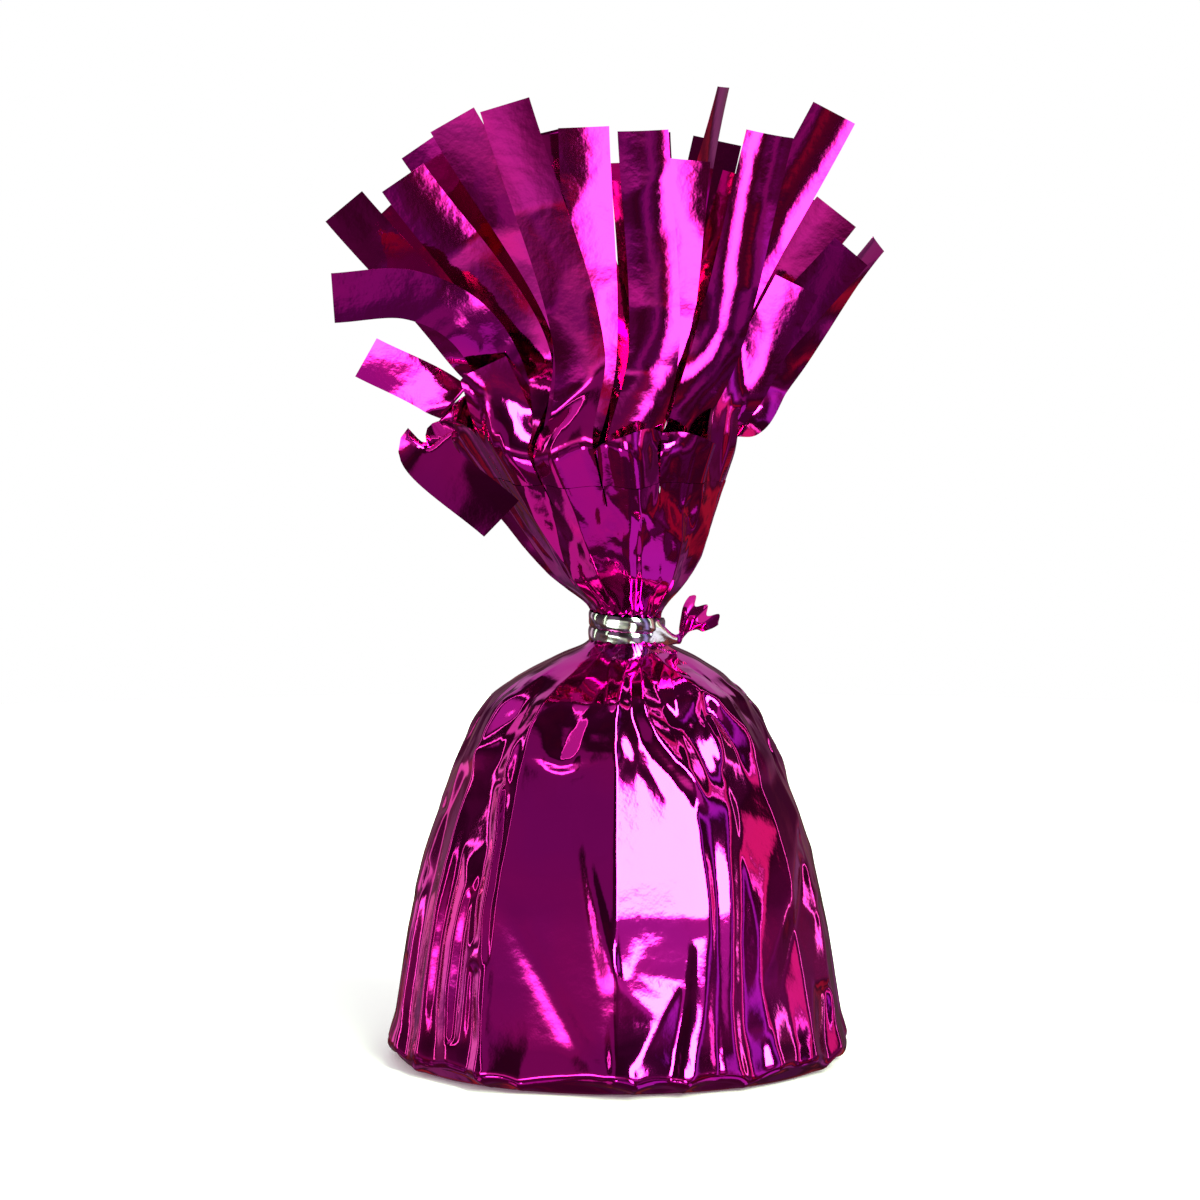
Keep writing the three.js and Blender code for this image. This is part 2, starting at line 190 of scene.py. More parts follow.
def metallised_film(name, clear, deep, haze):
    """Mirror-bright metallised film. Its tint drifts a little between two shades, as the
    lacquer's thickness does, and a very low bump ripples the reflection."""
    material, nodes, links, shader = new_material(name)
    spread = nodes.new("ShaderNodeMapRange")
    spread.inputs["From Min"].default_value = DRIFT_FROM
    spread.inputs["From Max"].default_value = DRIFT_TO
    links.new(noise_over(nodes, links, DRIFT_SCALE, 2.0), spread.inputs["Value"])
    colour_between(nodes, links, shader, clear, deep, spread.outputs["Result"])
    shader.inputs["Metallic"].default_value = 1.0
    shader.inputs["Roughness"].default_value = haze
    ripple = noise_over(nodes, links, RIPPLE_SCALE, 3.0)
    bump_from(nodes, links, shader, ripple, RIPPLE_STRENGTH, RIPPLE_DEPTH)
    return material


def plain(name, colour, roughness, grain_scale, grain_depth):
    """A dull finish whose colour and surface vary with a fine grain."""
    material, nodes, links, shader = new_material(name)
    grain = noise_over(nodes, links, grain_scale, GRAIN_DETAIL)
    darker = [GRAIN_DARKEST * c for c in colour]
    colour_between(nodes, links, shader, darker, colour, grain)
    shader.inputs["Roughness"].default_value = roughness
    bump_from(nodes, links, shader, grain, GRAIN_STRENGTH, grain_depth)
    return material


magenta_film = metallised_film("magenta film", (0.82, 0.018, 0.43), (0.70, 0.018, 0.46), 0.07)
silver_film = metallised_film("silver film", (0.74, 0.75, 0.80), (0.62, 0.63, 0.70), 0.1)
greyboard = plain("greyboard", (0.40, 0.31, 0.20), 0.9, 900.0, 0.0001)
cup_sheet = plain("thermoformed sheet", (0.80, 0.80, 0.77), 0.45, 300.0, 0.00003)
cast_ballast = plain("cast sand and cement", (0.33, 0.31, 0.27), 0.95, 1200.0, 0.0003)


# Heights of the film's parts, from the cup's crown up to the collar's rim
SHOULDER_TOP = 52.0
CUP_TOP = 54.1
NECK_LOW = 58.6
NECK_MIDDLE = 61.8
NECK_HIGH = 64.8
RIM = 83.0

# How far the neck and the collar's rim lie to the right of the cup's axis
NECK_LEAN = 1.3
COLLAR_LEAN = -3.6

# Half section of the film where it lies against the cup: radius and height
BODY_LINE = [
    (0.0, 0.3), (32.0, 0.3), (32.6, 0.9), (31.3, 6.0), (30.4, 12.0), (29.5, 18.0),
    (28.5, 24.0), (27.0, 30.0), (25.0, 36.0), (22.6, 42.5), (20.0, 48.0), (17.6, 52.0),
    (13.8, 55.0), (9.4, 57.4), (5.9, 58.9), (4.5, 60.0), (4.3, 62.0), (4.5, 63.6),
    (5.6, 65.2), (7.4, 67.0), (9.2, 69.4), (11.2, 73.0), (13.2, 77.6), (15.8, 83.0),
]

# Flat sides of the wrap: the angle that each side faces, and how far it stands off
SIDES = [
    (-19, 0.0), (17, 0.0), (34, 0.1), (48, 0.0), (65, 0.1), (86, 0.0), (108, 0.0),
    (131, 0.1), (155, 0.0), (178, 0.1), (201, 0.0), (225, 0.0), (246, 0.1), (264, 0.0),
    (279, 0.0), (293, 0.1), (309, 0.0),
]
COLLAR_SIDES = [
    (-118, 0.0), (-90, 0.2), (-62, 0.0), (-33, 0.1), (0, 0.0), (33, 0.1), (62, 0.0),
    (90, 0.2), (118, 0.0), (146, 0.2), (175, 0.0), (203, 0.2), (225, 0.0),
]

# Folds on the front, each a crest or a valley as a line of points: how far across the
# front, how high, and how far it stands off the flat sides
FRONT_FOLDS = [
    # calm panel on the left, with its edge
    [
        (-18.5, 1.0, 1.7), (-17.6, 8, 0.7), (-16.8, 15, 0.2), (-16, 25.5, 0.0), (-15.4, 33, 0.0),
        (-14.6, 39, 0.1), (-13.2, 44.7, 0.3),
    ],
    [(-13.5, 1.2, 0.5), (-12, 6, 0), (-11.5, 20, 0), (-11, 34, 0), (-10, 41, 0)],
    [(-7, 1.2, 0.2), (-7, 20, 0), (-7, 34, 0), (-6, 41, 0)],
    [(-1.5, 1.2, 0.7), (-2, 8, 0.1), (-2.6, 14, 0), (-4.2, 24, 0), (-5.6, 33, 0)],
    # thin crease down its right side
    [
        (-5.0, 37, 0.1), (-3.7, 29.7, 0.35), (-2.5, 24.8, 0.55), (-1.6, 20.6, 0.65),
        (-0.4, 17, 0.7), (0.6, 14.7, 0.6),
    ],
    [(-3.0, 31, 0.1), (-1.6, 25, 0.1), (-0.5, 20.6, 0.2), (0.4, 17.5, 0.2)],
    [(0.4, 19, 0.1), (0.3, 30, 0.05), (0.3, 42, 0.05), (0.2, 50, 0.1)],
    # bright panel, and the part below it that leans out to its foot
    [(3.5, 23, 0.05), (3.5, 34, 0), (3.2, 45, 0)],
    [(8, 24, 0.05), (8, 34, 0), (6.5, 42, 0)],
    [(0.6, 14.7, 0.6), (2.6, 18.8, 0.35), (4.4, 22.3, 0.05), (10.6, 21.3, 0.1)],
    [(7.6, 13.2, 0.7), (5.4, 9.8, 1.2), (3.1, 6, 1.6), (1.4, 3.2, 1.8)],
    [(2.4, 1.0, 1.9), (4.8, 1.1, 1.4)],
    [(7.4, 1.1, 1.2), (7.9, 6, 0.8), (8.8, 12, 0.35), (9.6, 19, 0.1)],
    [(8.3, 1.1, 2.0), (9.1, 6, 1.5), (10.1, 12, 0.8), (10.8, 20, 0.3)],
    [
        (9.9, 1.1, 2.2), (10.8, 6, 1.6), (11.8, 12, 0.9), (12.3, 20, 0.4), (12.4, 28, 0.2),
        (11.9, 32, 0.1),
    ],
    # right of the panel: gutter, purple ridge, deep valley
    [(13.6, 1.2, 0.3), (13.4, 12, 0.1), (13.3, 20, 0.1), (13.4, 29, 0.05), (12.4, 37, 0.05)],
    [
        (17.4, 1.0, 0.9), (16.2, 6, 0.8), (15.6, 12, 0.75), (15.5, 30, 0.75), (15.2, 38, 0.5),
        (14.4, 43, 0.2),
    ],
    [(18.6, 1.2, 0.1), (17.2, 9, 0.0), (16.8, 20, 0.0), (16.8, 30, 0.0), (16.6, 38, 0.0)],
    # looped fold
    [(21.3, 40, 0.2), (22.0, 34.6, 0.7), (20.6, 28, 0.75), (19.6, 21.5, 0.7), (18.9, 15, 0.4)],
    [
        (24.4, 39, 0.3), (25.2, 35, 0.8), (24.5, 29.5, 0.85), (22.9, 21.5, 0.75), (21, 16.7, 0.5),
        (19.4, 13.6, 0.3),
    ],
    [
        (26.4, 36, 0.0), (25.8, 29, 0.0), (24.4, 21, 0.0), (22.8, 14, 0.0), (24.6, 6, 0.0),
        (25, 1.2, 0.1),
    ],
    # lobe under it, and the right side
    [(20.4, 12, 0.3), (21.6, 7, 0.8), (22.8, 1.0, 1.1)],
    [(19.8, 6, 0.1), (20.4, 1.2, 0.2)],
    [(26.6, 38, 0.1), (27.3, 30, 0.4), (27.4, 20, 0.45), (27.0, 10, 0.5), (26.8, 1.0, 0.7)],
    [(28.4, 28, 0.0), (28.8, 16, 0.0), (28.8, 6, 0.0), (28.8, 1.2, 0.1)],
    # left side: fans of folds
    [
        (-13.2, 46.6, 0.5), (-15.3, 43.2, 0.8), (-16.3, 38.5, 0.9), (-16.4, 34, 0.8),
        (-17.4, 29, 0.8),
    ],
    [
        (-17.4, 29, 0.8), (-18.2, 24.4, 0.9), (-18.5, 20.6, 0.9), (-18.2, 17, 0.7),
        (-18.8, 12.4, 0.8),
    ],
    [(-18.8, 12.4, 0.8), (-18.3, 7, 0.9), (-18.6, 1.2, 1.4)],
    [
        (-15.2, 42, 0.0), (-15.5, 36, 0.0), (-16.3, 29.4, 0.1), (-17.2, 23, 0.1),
        (-17.3, 17.4, 0.1),
    ],
    [
        (-16.6, 42.6, 0.1), (-17.6, 37, 0.0), (-17.8, 31.6, 0.0), (-19.4, 26, 0.0),
        (-19.8, 20, 0.0),
    ],
    [
        (-21.2, 30.4, 0.5), (-21.0, 27.4, 0.9), (-22.6, 21, 0.9), (-23.8, 13, 0.9),
        (-23.9, 5, 0.8), (-23.4, 1.2, 0.6),
    ],
    [(-19.4, 28.6, 0.4), (-20.2, 22.4, 0.5), (-20.6, 15, 0.6), (-21.6, 7, 0.6), (-22.6, 2, 0.5)],
    [(-20.2, 26, 0.1), (-21.4, 20, 0.0), (-22.1, 13, 0.0), (-22.9, 6, 0.1)],
    [(-19.8, 16, 0.0), (-19.8, 9, 0.0), (-20.4, 2, 0.1)],
    [(-20.6, 36, 0.1), (-22.3, 28, 0.0), (-24.1, 20, 0.0), (-25.2, 11, 0.0), (-25.6, 2, 0.1)],
    [(-21.4, 38, 0.4), (-23.6, 30, 0.8), (-25.4, 21, 0.9), (-26.8, 12, 0.9), (-27.9, 3, 0.9)],
    [(-23.6, 36, 0.0), (-25.2, 29, 0.0), (-27.2, 19, 0.0), (-28.8, 9, 0.0), (-29.4, 1.5, 0.1)],
    [(-23.4, 41, 0.3), (-26.0, 33, 0.7), (-28.6, 20, 0.7), (-30.1, 9, 0.7), (-30.8, 1, 0.7)],
    # under the tie
    [(-3.0, 57.6, 0.3), (-5.0, 54.8, 0.4), (-5.8, 53.4, 0.3)],
    [(-1.0, 57.8, 0.0), (-1.6, 54.8, 0.0), (-1.8, 52.4, 0.0)],
    [(0.9, 57.8, 0.3), (0.7, 54.6, 0.4), (0.2, 52.6, 0.3)],
    # shoulder on the left, with its pocket
    [
        (-11.0, 53, 0.3), (-10.8, 49, 0.8), (-10.2, 44.8, 1.0), (-8, 44.2, 1.1),
        (-5.8, 44.8, 1.0), (-4.4, 49, 0.7), (-3.2, 53, 0.3),
    ],
    [(-10.4, 43.6, 0.0), (-8, 43.0, 0.0), (-5.4, 43.6, 0.0)],
    [(-7.4, 53, 0.3), (-7.8, 49, 0.5), (-8, 46.4, 0.5)],
    [(-19.2, 48.6, 0.5), (-15.6, 51.6, 0.8), (-11.8, 54.4, 0.8), (-7.6, 57, 0.5)],
    [(-18.4, 46, 0.1), (-14.4, 50, 0.0), (-12, 52.6, 0.1)],
    [(-21.6, 43, 0.3), (-19, 44.4, 0.5), (-15.6, 46.8, 0.5), (-12.6, 48.8, 0.5), (-11, 51, 0.5)],
    [(-21, 41.6, 0.0), (-18.4, 42.2, 0.0), (-16, 44, 0.0)],
    # shoulder on the right
    [
        (3.0, 57.4, 0.3), (3.5, 52.5, 0.8), (5.3, 48, 1.1), (7.8, 45, 1.2), (10.3, 42.4, 1.1),
        (12.3, 39.5, 0.7),
    ],
    [
        (1.6, 55, 0.0), (2, 51, 0.0), (4, 46.5, 0.0), (7, 43, 0.0), (9.6, 40.6, 0.0),
        (10.4, 36, 0.0),
    ],
    [(5.4, 54, 0.1), (8, 50, 0.0), (11, 46, 0.0), (12.4, 42.5, 0.1)],
    [(6.4, 57, 0.4), (9.5, 54.6, 1.0), (13.9, 51.6, 1.4), (17.6, 48, 1.2), (20.6, 43.5, 0.9)],
    [(12.6, 51, 0.1), (15.2, 47.4, 0.0), (17.4, 43, 0.0), (18.6, 40.5, 0.0)],
    [(13.6, 49.6, 0.6), (14.6, 46, 1.0), (14.4, 43, 0.6)],
    [(10, 56.4, 0.1), (15, 52.6, 0.0), (19.6, 47.4, 0.0), (22.6, 42.5, 0.0)],
]

# Folds of the collar's front
COLLAR_FOLDS = [
    [(-13.0, 84, 0.9), (-10.4, 76, 0.4), (-7.0, 69, 0.2)],
    [(-9.8, 84, 0.1), (-8.4, 76, 0.0), (-5.8, 68, 0.0)],
    [(-7.6, 84, 0.6), (-6.4, 74.5, 0.5), (-4.6, 66, 0.2)],
    [(1.2, 84, 0.7), (1.6, 74, 0.5), (1.9, 66, 0.2)],
    [(2.9, 78, 0.0), (2.6, 72, 0.0), (2.5, 66.5, 0.0)],
    [(4.4, 84, 0.2), (6.6, 81, 0.0), (9.6, 78, 0.1)],
    [(3.4, 79, 0.6), (6.4, 77, 0.9), (9.2, 74.6, 0.9), (6.8, 70, 0.6), (4.2, 66.4, 0.2)],
    [(11.6, 84, 1.0), (11.2, 79, 0.9), (9.6, 72, 0.6)],
    [(-6.4, 76.0, 0.6), (-3.4, 77.0, 0.95), (-0.6, 76.0, 0.9), (1.4, 74.0, 0.55)],
    [(-3.6, 83.4, 0.2), (-1.0, 80.6, 0.15), (1.0, 78.0, 0.4)],
]

# Angles at which the wrap's lower edge comes down to the table
FEET = [
    -118.0, -90.0, -62.0, -34.0, -25.0, 4.0, 16.5, 33.0, 65.0, 84.0, 104.0, 122.0, 140.0,
    160.0, 178.0, 198.0, 218.0,
]

# Angles between which the folds of the sides and the back lie
SIDE_FOLDS = (70.0, 291.0)

# Ranges that the side folds' sizes are drawn from: how many folds follow the first of a
# bunch, the step over a panel and in a bunch, the tops of long and short folds, and depth
BUNCH = (1, 4)
PANEL_STEP = (13.0, 19.0)
BUNCH_STEP = (5.5, 8.5)
LONG_FOLD_SHARE = 0.6
LONG_FOLD_TOP = (36.0, 41.0)
SHORT_FOLD_TOP = (20.0, 34.0)
SIDE_FOLD_DEPTH = (0.4, 1.3)

# A side fold from its foot up: the share of its depth at five places, how far its top may
# lean, how far each place may stray, and the most that lies between crest and valley
SIDE_FOLD_TAPER = np.array([1.0, 0.9, 0.85, 0.7, 0.15])
SIDE_FOLD_LEAN = 7.0
SIDE_FOLD_STRAY = 1.2
VALLEY_AWAY = 5.0

# The slanting folds of the shoulder: their step, the ranges of their two ends' heights, and
# the most that they slant
SHOULDER_STEP = 9.0
SHOULDER_FOLD_LOW = (41.5, 45.5)
SHOULDER_FOLD_HIGH = (52.0, 55.0)
SHOULDER_FOLD_SLANT = 9.0

# The short folds under the neck: their number, the heights of their middles and tops, the
# range of their lower ends, and how near the front they stop
NECK_FOLD_COUNT = 16
NECK_FOLD_HEIGHTS = (56.6, 58.6)
NECK_FOLD_ENDS = (54.6, 55.6)
NECK_FOLD_FRONT = 60.0

# The folds of the collar's sides and back: the angles between which they lie, their steps,
# their depth at the rim and the heights of their three places
COLLAR_FOLD_ANGLES = (78.0, 290.0)
COLLAR_FOLD_STEP = (13.0, 22.0)
COLLAR_FOLD_DEPTH = (1.0, 2.2)
COLLAR_FOLD_HEIGHTS = (66.0, 74.0, 84.0)

# Points along the fold lines stand this far apart, and a degree counts as half a millimetre
FOLD_POINT_STEP = 0.8
DEGREE_LENGTH = 0.5

# How the fold points are joined into facets: what a degree counts for beside a row, the
# angle up to which they are repeated past the seam, and the step of the two plain edges
DEGREE_SHARE = 0.8
SEAM_REACH = 215.0
EDGE_STEP = 12.0


def axis_at(height):
    """How far the film's axis lies to the right of the cup's: it is gathered to the right
    at the neck, and the collar leans back to the left."""
    gathered = NECK_LEAN * smooth(height, CUP_TOP - 4.0, NECK_LOW)
    return gathered + COLLAR_LEAN * np.clip((height - NECK_HIGH) / (RIM - NECK_HIGH), 0.0, 1.3)


def side_rise(angle, radius, sides):
    """Height of the flat sides over the round one: a side that faces angle a and touches a
    circle of radius r stands at r / cos(angle - a), and the lowest side counts."""
    rise = np.full(np.broadcast(angle, radius).shape, np.inf)
    for faces, off in sides:
        away = np.radians(np.clip(np.abs(wrapped(angle - faces)), 0.0, 75.0))
        rise = np.minimum(rise, (radius + off) / np.cos(away) - radius)
    return rise


def side_folds():
    """Folds for the sides and the back: bunches of narrow folds with a broad flat panel
    between one bunch and the next. Each is a crest with a valley after it. Some run up to
    the shoulder, some die out half way, and they lean as they rise."""
    rng = np.random.default_rng(14)
    places = len(SIDE_FOLD_TAPER)
    folds = []
    angle = SIDE_FOLDS[0]
    in_bunch = 0
    while angle < SIDE_FOLDS[1]:
        if in_bunch == 0:
            in_bunch = int(rng.integers(*BUNCH))
            step = rng.uniform(*PANEL_STEP)
        else:
            in_bunch -= 1
            step = rng.uniform(*BUNCH_STEP)
        is_long = rng.random() < LONG_FOLD_SHARE
        top = rng.uniform(*(LONG_FOLD_TOP if is_long else SHORT_FOLD_TOP))
        lean = np.linspace(0.0, rng.uniform(-SIDE_FOLD_LEAN, SIDE_FOLD_LEAN), places)
        lean = lean + rng.uniform(-SIDE_FOLD_STRAY, SIDE_FOLD_STRAY, places)
        depth = rng.uniform(*SIDE_FOLD_DEPTH) * SIDE_FOLD_TAPER
        heights = np.linspace(1.0, top, places)
        folds.append(np.stack([angle + lean, heights, depth], axis=1))
        valley = rng.uniform(0.0, 0.1, places)
        between = angle + min(step * rng.uniform(0.4, 0.6), VALLEY_AWAY)
        folds.append(np.stack([between + lean, heights, valley], axis=1))
        angle += step
    return folds


def shoulder_folds():
    """Slanting folds over the shoulder round the sides and the back, a crest and a valley
    by turns."""
    rng = np.random.default_rng(31)
    folds = []
    angles = np.arange(SIDE_FOLDS[0] + 6.0, SIDE_FOLDS[1] - 4.0, SHOULDER_STEP)
    for k, angle in enumerate(angles):
        slant = rng.uniform(-SHOULDER_FOLD_SLANT, SHOULDER_FOLD_SLANT)
        high = rng.uniform(0.5, 1.1) if k % 2 else 0.0
        low_end = rng.uniform(*SHOULDER_FOLD_LOW)
        high_end = rng.uniform(*SHOULDER_FOLD_HIGH)
        middle = 0.5 * (low_end + high_end)
        folds.append([
            (angle + slant, low_end, 0.3 * high),
            (angle, middle, high),
            (angle - slant, high_end, 0.5 * high),
        ])
    return folds


def neck_folds():
    """Short folds that run down from the neck on to the shoulder, a crest and a valley
    by turns. Their lengths differ, and each stands off furthest half way."""
    rng = np.random.default_rng(9)
    folds = []
    middle, top = NECK_FOLD_HEIGHTS
    for k, angle in enumerate(np.linspace(-180.0, 180.0, NECK_FOLD_COUNT, endpoint=False)):
        lean = rng.uniform(-5.0, 5.0)
        end = rng.uniform(*NECK_FOLD_ENDS)
        high = rng.uniform(0.2, 0.45) if k % 2 else 0.0
        if abs(angle) > NECK_FOLD_FRONT:
            folds.append([
                (angle + lean, end, 0.4 * high),
                (angle, middle, high),
                (angle, top, 0.7 * high),
            ])
    return folds


def collar_folds():
    """Folds of the collar round the sides and the back, which open out as it widens."""
    rng = np.random.default_rng(6)
    folds = []
    low, middle, top = COLLAR_FOLD_HEIGHTS
    angle = COLLAR_FOLD_ANGLES[0]
    while angle < COLLAR_FOLD_ANGLES[1]:
        step = rng.uniform(*COLLAR_FOLD_STEP)
        depth = rng.uniform(*COLLAR_FOLD_DEPTH)
        turn = rng.uniform(-5.0, 5.0)
        between = angle + step * rng.uniform(0.4, 0.6)
        folds.append([(angle, low, 0.4), (angle + turn, middle, 0.7 * depth), (angle, top, depth)])
        folds.append([(between, low, 0.0), (between + turn, middle, 0.0), (between, top, 0.1)])
        angle += step
    return folds


def fold_points(line, arc):
    """Points close together along all the fold lines, as the angle, the row of the half
    section and the stand-off. line is the half section, whose wall starts at row arc."""
    height_at, row_at = line[arc:, 1], np.arange(arc, len(line))
    radius_at = line[arc:, 0]
    around = [*side_folds(), *shoulder_folds(), *neck_folds(), *collar_folds()]
    lines = [np.array(fold) for fold in around]
    for fold in [*FRONT_FOLDS, *COLLAR_FOLDS]:
        across, height, off = np.array(fold).T
        radius = np.interp(height, height_at, radius_at) + off
        share = np.clip((across - axis_at(height)) / radius, -1.0, 1.0)
        lines.append(np.stack([np.degrees(np.arcsin(share)), height, off], axis=1))
    points = []
    for fold in lines:
        span = np.hypot(np.diff(fold[:, 0]) * DEGREE_LENGTH, np.diff(fold[:, 1]))
        run = np.concatenate([[0.0], np.cumsum(span)])
        even = np.linspace(0.0, run[-1], max(2, int(run[-1] / FOLD_POINT_STEP)))
        angle, height, off = (np.interp(even, run, fold[:, k]) for k in range(3))
        row = np.interp(height, height_at, row_at)
        points.append(np.stack([wrapped(angle), row, off], axis=1))
    return np.concatenate(points)


def averaged(field):
    """Each place averaged with its neighbours, by 1, 2 and 1, round the piece and then up
    and down it."""
    field = 0.25 * (np.roll(field, 1, axis=1) + 2 * field + np.roll(field, -1, axis=1))
    above = np.concatenate([field[1:], field[-1:]])
    below = np.concatenate([field[:1], field[:-1]])
    return 0.25 * (above + 2 * field + below)


def folded(points, rows, columns):
    """The stand-off over the grid: the points are joined into triangles, each of them a
    flat facet over which the stand-off changes evenly, and the creases between the facets
    are rounded by averaging each place with its neighbours."""
    turns = [points + np.array([shift, 0.0, 0.0]) for shift in (-360.0, 0.0, 360.0)]
    around = np.concatenate(turns)
    around = around[np.abs(around[:, 0]) < SEAM_REACH]
    edge_rows = (points[:, 1].min() - 4, points[:, 1].max() + 6)
    edge_angles = np.arange(-210.0, 211.0, EDGE_STEP)
    ends = [(angle, row, 0.0) for angle in edge_angles for row in edge_rows]
    around = np.concatenate([around, np.array(ends)])
    flat = [(angle * DEGREE_SHARE, row) for angle, row, _ in around]
    corners, _, faces, origins, _, _ = delaunay_2d_cdt(flat, [], [], 0, 1e-4)
    off = np.array([around[origin[0], 2] for origin in origins])
    corners = np.array([tuple(corner) for corner in corners])
    field = np.zeros((rows, columns))
    step = 360.0 / columns
    seam = 180.0 / step
    for face in faces:
        triangle = corners[list(face)] * np.array([1 / DEGREE_SHARE / step, 1.0])
        (ax, ay), (bx, by), (cx, cy) = triangle
        first = max(0, math.ceil(min(ax, bx, cx) + seam - 1e-6))
        last = min(columns, math.floor(max(ax, bx, cx) + seam + 1e-6) + 1)
        low = max(0, math.ceil(min(ay, by, cy) - 1e-6))
        high = min(rows, math.floor(max(ay, by, cy)) + 1)
        size = (by - cy) * (ax - cx) + (cx - bx) * (ay - cy)
        if first >= last or low >= high or abs(size) < 1e-9:
            continue
        x = np.arange(first, last)[None, :] - seam
        y = np.arange(low, high)[:, None]
        share_a = ((by - cy) * (x - cx) + (cx - bx) * (y - cy)) / size
        share_b = ((cy - ay) * (x - cx) + (ax - cx) * (y - cy)) / size
        share_c = 1.0 - share_a - share_b
        inside = np.minimum(np.minimum(share_a, share_b), share_c) >= -1e-6
        value = share_a * off[face[0]] + share_b * off[face[1]] + share_c * off[face[2]]
        field[low:high, first:last] = np.where(inside, value, field[low:high, first:last])
    return averaged(field)


# Between two feet the lower edge rises by a millimetre for each 16 degrees, up to a most,
# outside the card's edge, and the rise fades out up the wall
GAP_PER_LIFT = 16.0
LIFT_MOST = 1.3
CARD_EDGE = 30.9
WRAP_EDGE = 32.0
LIFT_FADE = 9.0


def base_lift(angle):
    """How far the wrap's lower edge rises between two feet, where it doesn't reach the
    table: a parabola from foot to foot, higher where the feet are further apart."""
    feet = np.array(FEET + [FEET[0] + 360.0])
    turned = np.where(angle < feet[0], angle + 360.0, angle)
    past = np.clip(np.searchsorted(feet, turned, side="right") - 1, 0, len(feet) - 2)
    gap = feet[past + 1] - feet[past]
    share = (turned - feet[past]) / gap
    return 4.0 * share * (1.0 - share) * np.minimum(LIFT_MOST, gap / GAP_PER_LIFT)


def crumple(points, count, stretch, seed, batch=20000):
    """A crumpled field of flat facets. It is the least squared distance to one set of
    seeds minus the least to another, which is flat between sharp creases. The seeds are
    some of the points themselves, and stretch scales the directions first."""
    rng = np.random.default_rng(seed)
    flat = points.reshape(-1, points.shape[-1]) * stretch
    seeds = flat[rng.choice(len(flat), size=2 * count, replace=False)]
    field = np.empty(len(flat))
    for start in range(0, len(flat), batch):
        part = flat[start : start + batch, None, :]
        ridges = ((part - seeds[None, :count]) ** 2).sum(axis=-1).min(axis=1)
        valleys = ((part - seeds[None, count:]) ** 2).sum(axis=-1).min(axis=1)
        field[start : start + batch] = ridges - valleys
    return field.reshape(points.shape[:2])


# The soft ridge that runs down across the calm panel: its two ends, across and up, its
# height and width, and the share of its height that it starts with and then gains
RIDGE_FROM = np.array([-15.5, 25.0])
RIDGE_TO = np.array([-3.0, 2.8])
RIDGE_HEIGHT = 0.27
RIDGE_WIDTH = 1.6
RIDGE_START = 0.55
RIDGE_GAIN = 0.45


def soft_ridge(base):
    """A low rounded ridge on the front: its height falls off with the distance from a
    straight line, as exp(-(d / width)^2)."""
    seen = base[..., [0, 2]] - RIDGE_FROM
    run = RIDGE_TO - RIDGE_FROM
    share = np.clip(seen @ run / (run @ run), 0.0, 1.0)
    away = np.linalg.norm(seen - share[..., None] * run, axis=-1)
    high = RIDGE_HEIGHT * (RIDGE_START + RIDGE_GAIN * share)
    return (base[..., 1] < 0.0) * high * np.exp(-((away / RIDGE_WIDTH) ** 2))


# The calm panel, which is hardly crumpled: the angle that it faces, how far it reaches to
# either side, how calm it is, and the heights between which it ends
CALM_FACES = -10.0
CALM_REACH = 27.0
CALM_SHARE = 0.96
CALM_TOP = 38.0
CALM_END = 45.0

# Coarse and fine crumples: how many facets, how much less height counts than width, depth
COARSE_FACETS = 120
COARSE_STRETCH = np.array([1.0, 1.0, 0.4])
COARSE_DEPTH = 0.008
FINE_FACETS = 420
FINE_STRETCH = np.array([1.0, 1.0, 0.6])
FINE_DEPTH = 0.012


def crumpled_share(height, angle, wall):
    """How strongly the film is crumpled: fully on the shoulder and the collar, about a
    quarter as much on the skirt, and hardly at all on the calm panel and at the neck."""
    beside = np.exp(-((wrapped(angle - CALM_FACES) / CALM_REACH) ** 6))
    calm = 1.0 - CALM_SHARE * beside * smooth(-height, -CALM_END, -CALM_TOP)
    share = wall * (0.5 + 0.5 * smooth(height, 30.0, 50.0)) * calm
    share = share * (1.0 - 0.9 * smooth(height, 51.0, 55.0) + 0.9 * smooth(height, 66.0, 72.0))
    return share * (0.45 + 0.55 * smooth(height, 38.0, 48.0))


# The film's grid: its columns, the distance between its rows, how soft the section's
# corners are, and how the rows on the flat floor are thinned out up to near its edge
FILM_COLUMNS = 480
ROW_SPACING = 0.55
CORNER_SOFTNESS = 0.7
FLOOR_EDGE_ROWS = 8
FLOOR_ROW_STEP = 6

# The gathers in the tied neck: their number, how unevenly they are spread, their depth,
# and how far above and below the neck's middle they reach
GATHERS = 19
GATHER_SPREAD = 40
GATHER_DEPTH = 0.6
GATHER_REACH = 1.9

# The film starts to be a wall, and the collar starts to have sides, over these heights
WALL_FROM = 0.5
WALL_TO = 2.0
COLLAR_START = 5.0

# How far the film may go in past its half section over the cup, and the lowest that it lies
DEEPEST = 0.1
LOWEST = 0.05


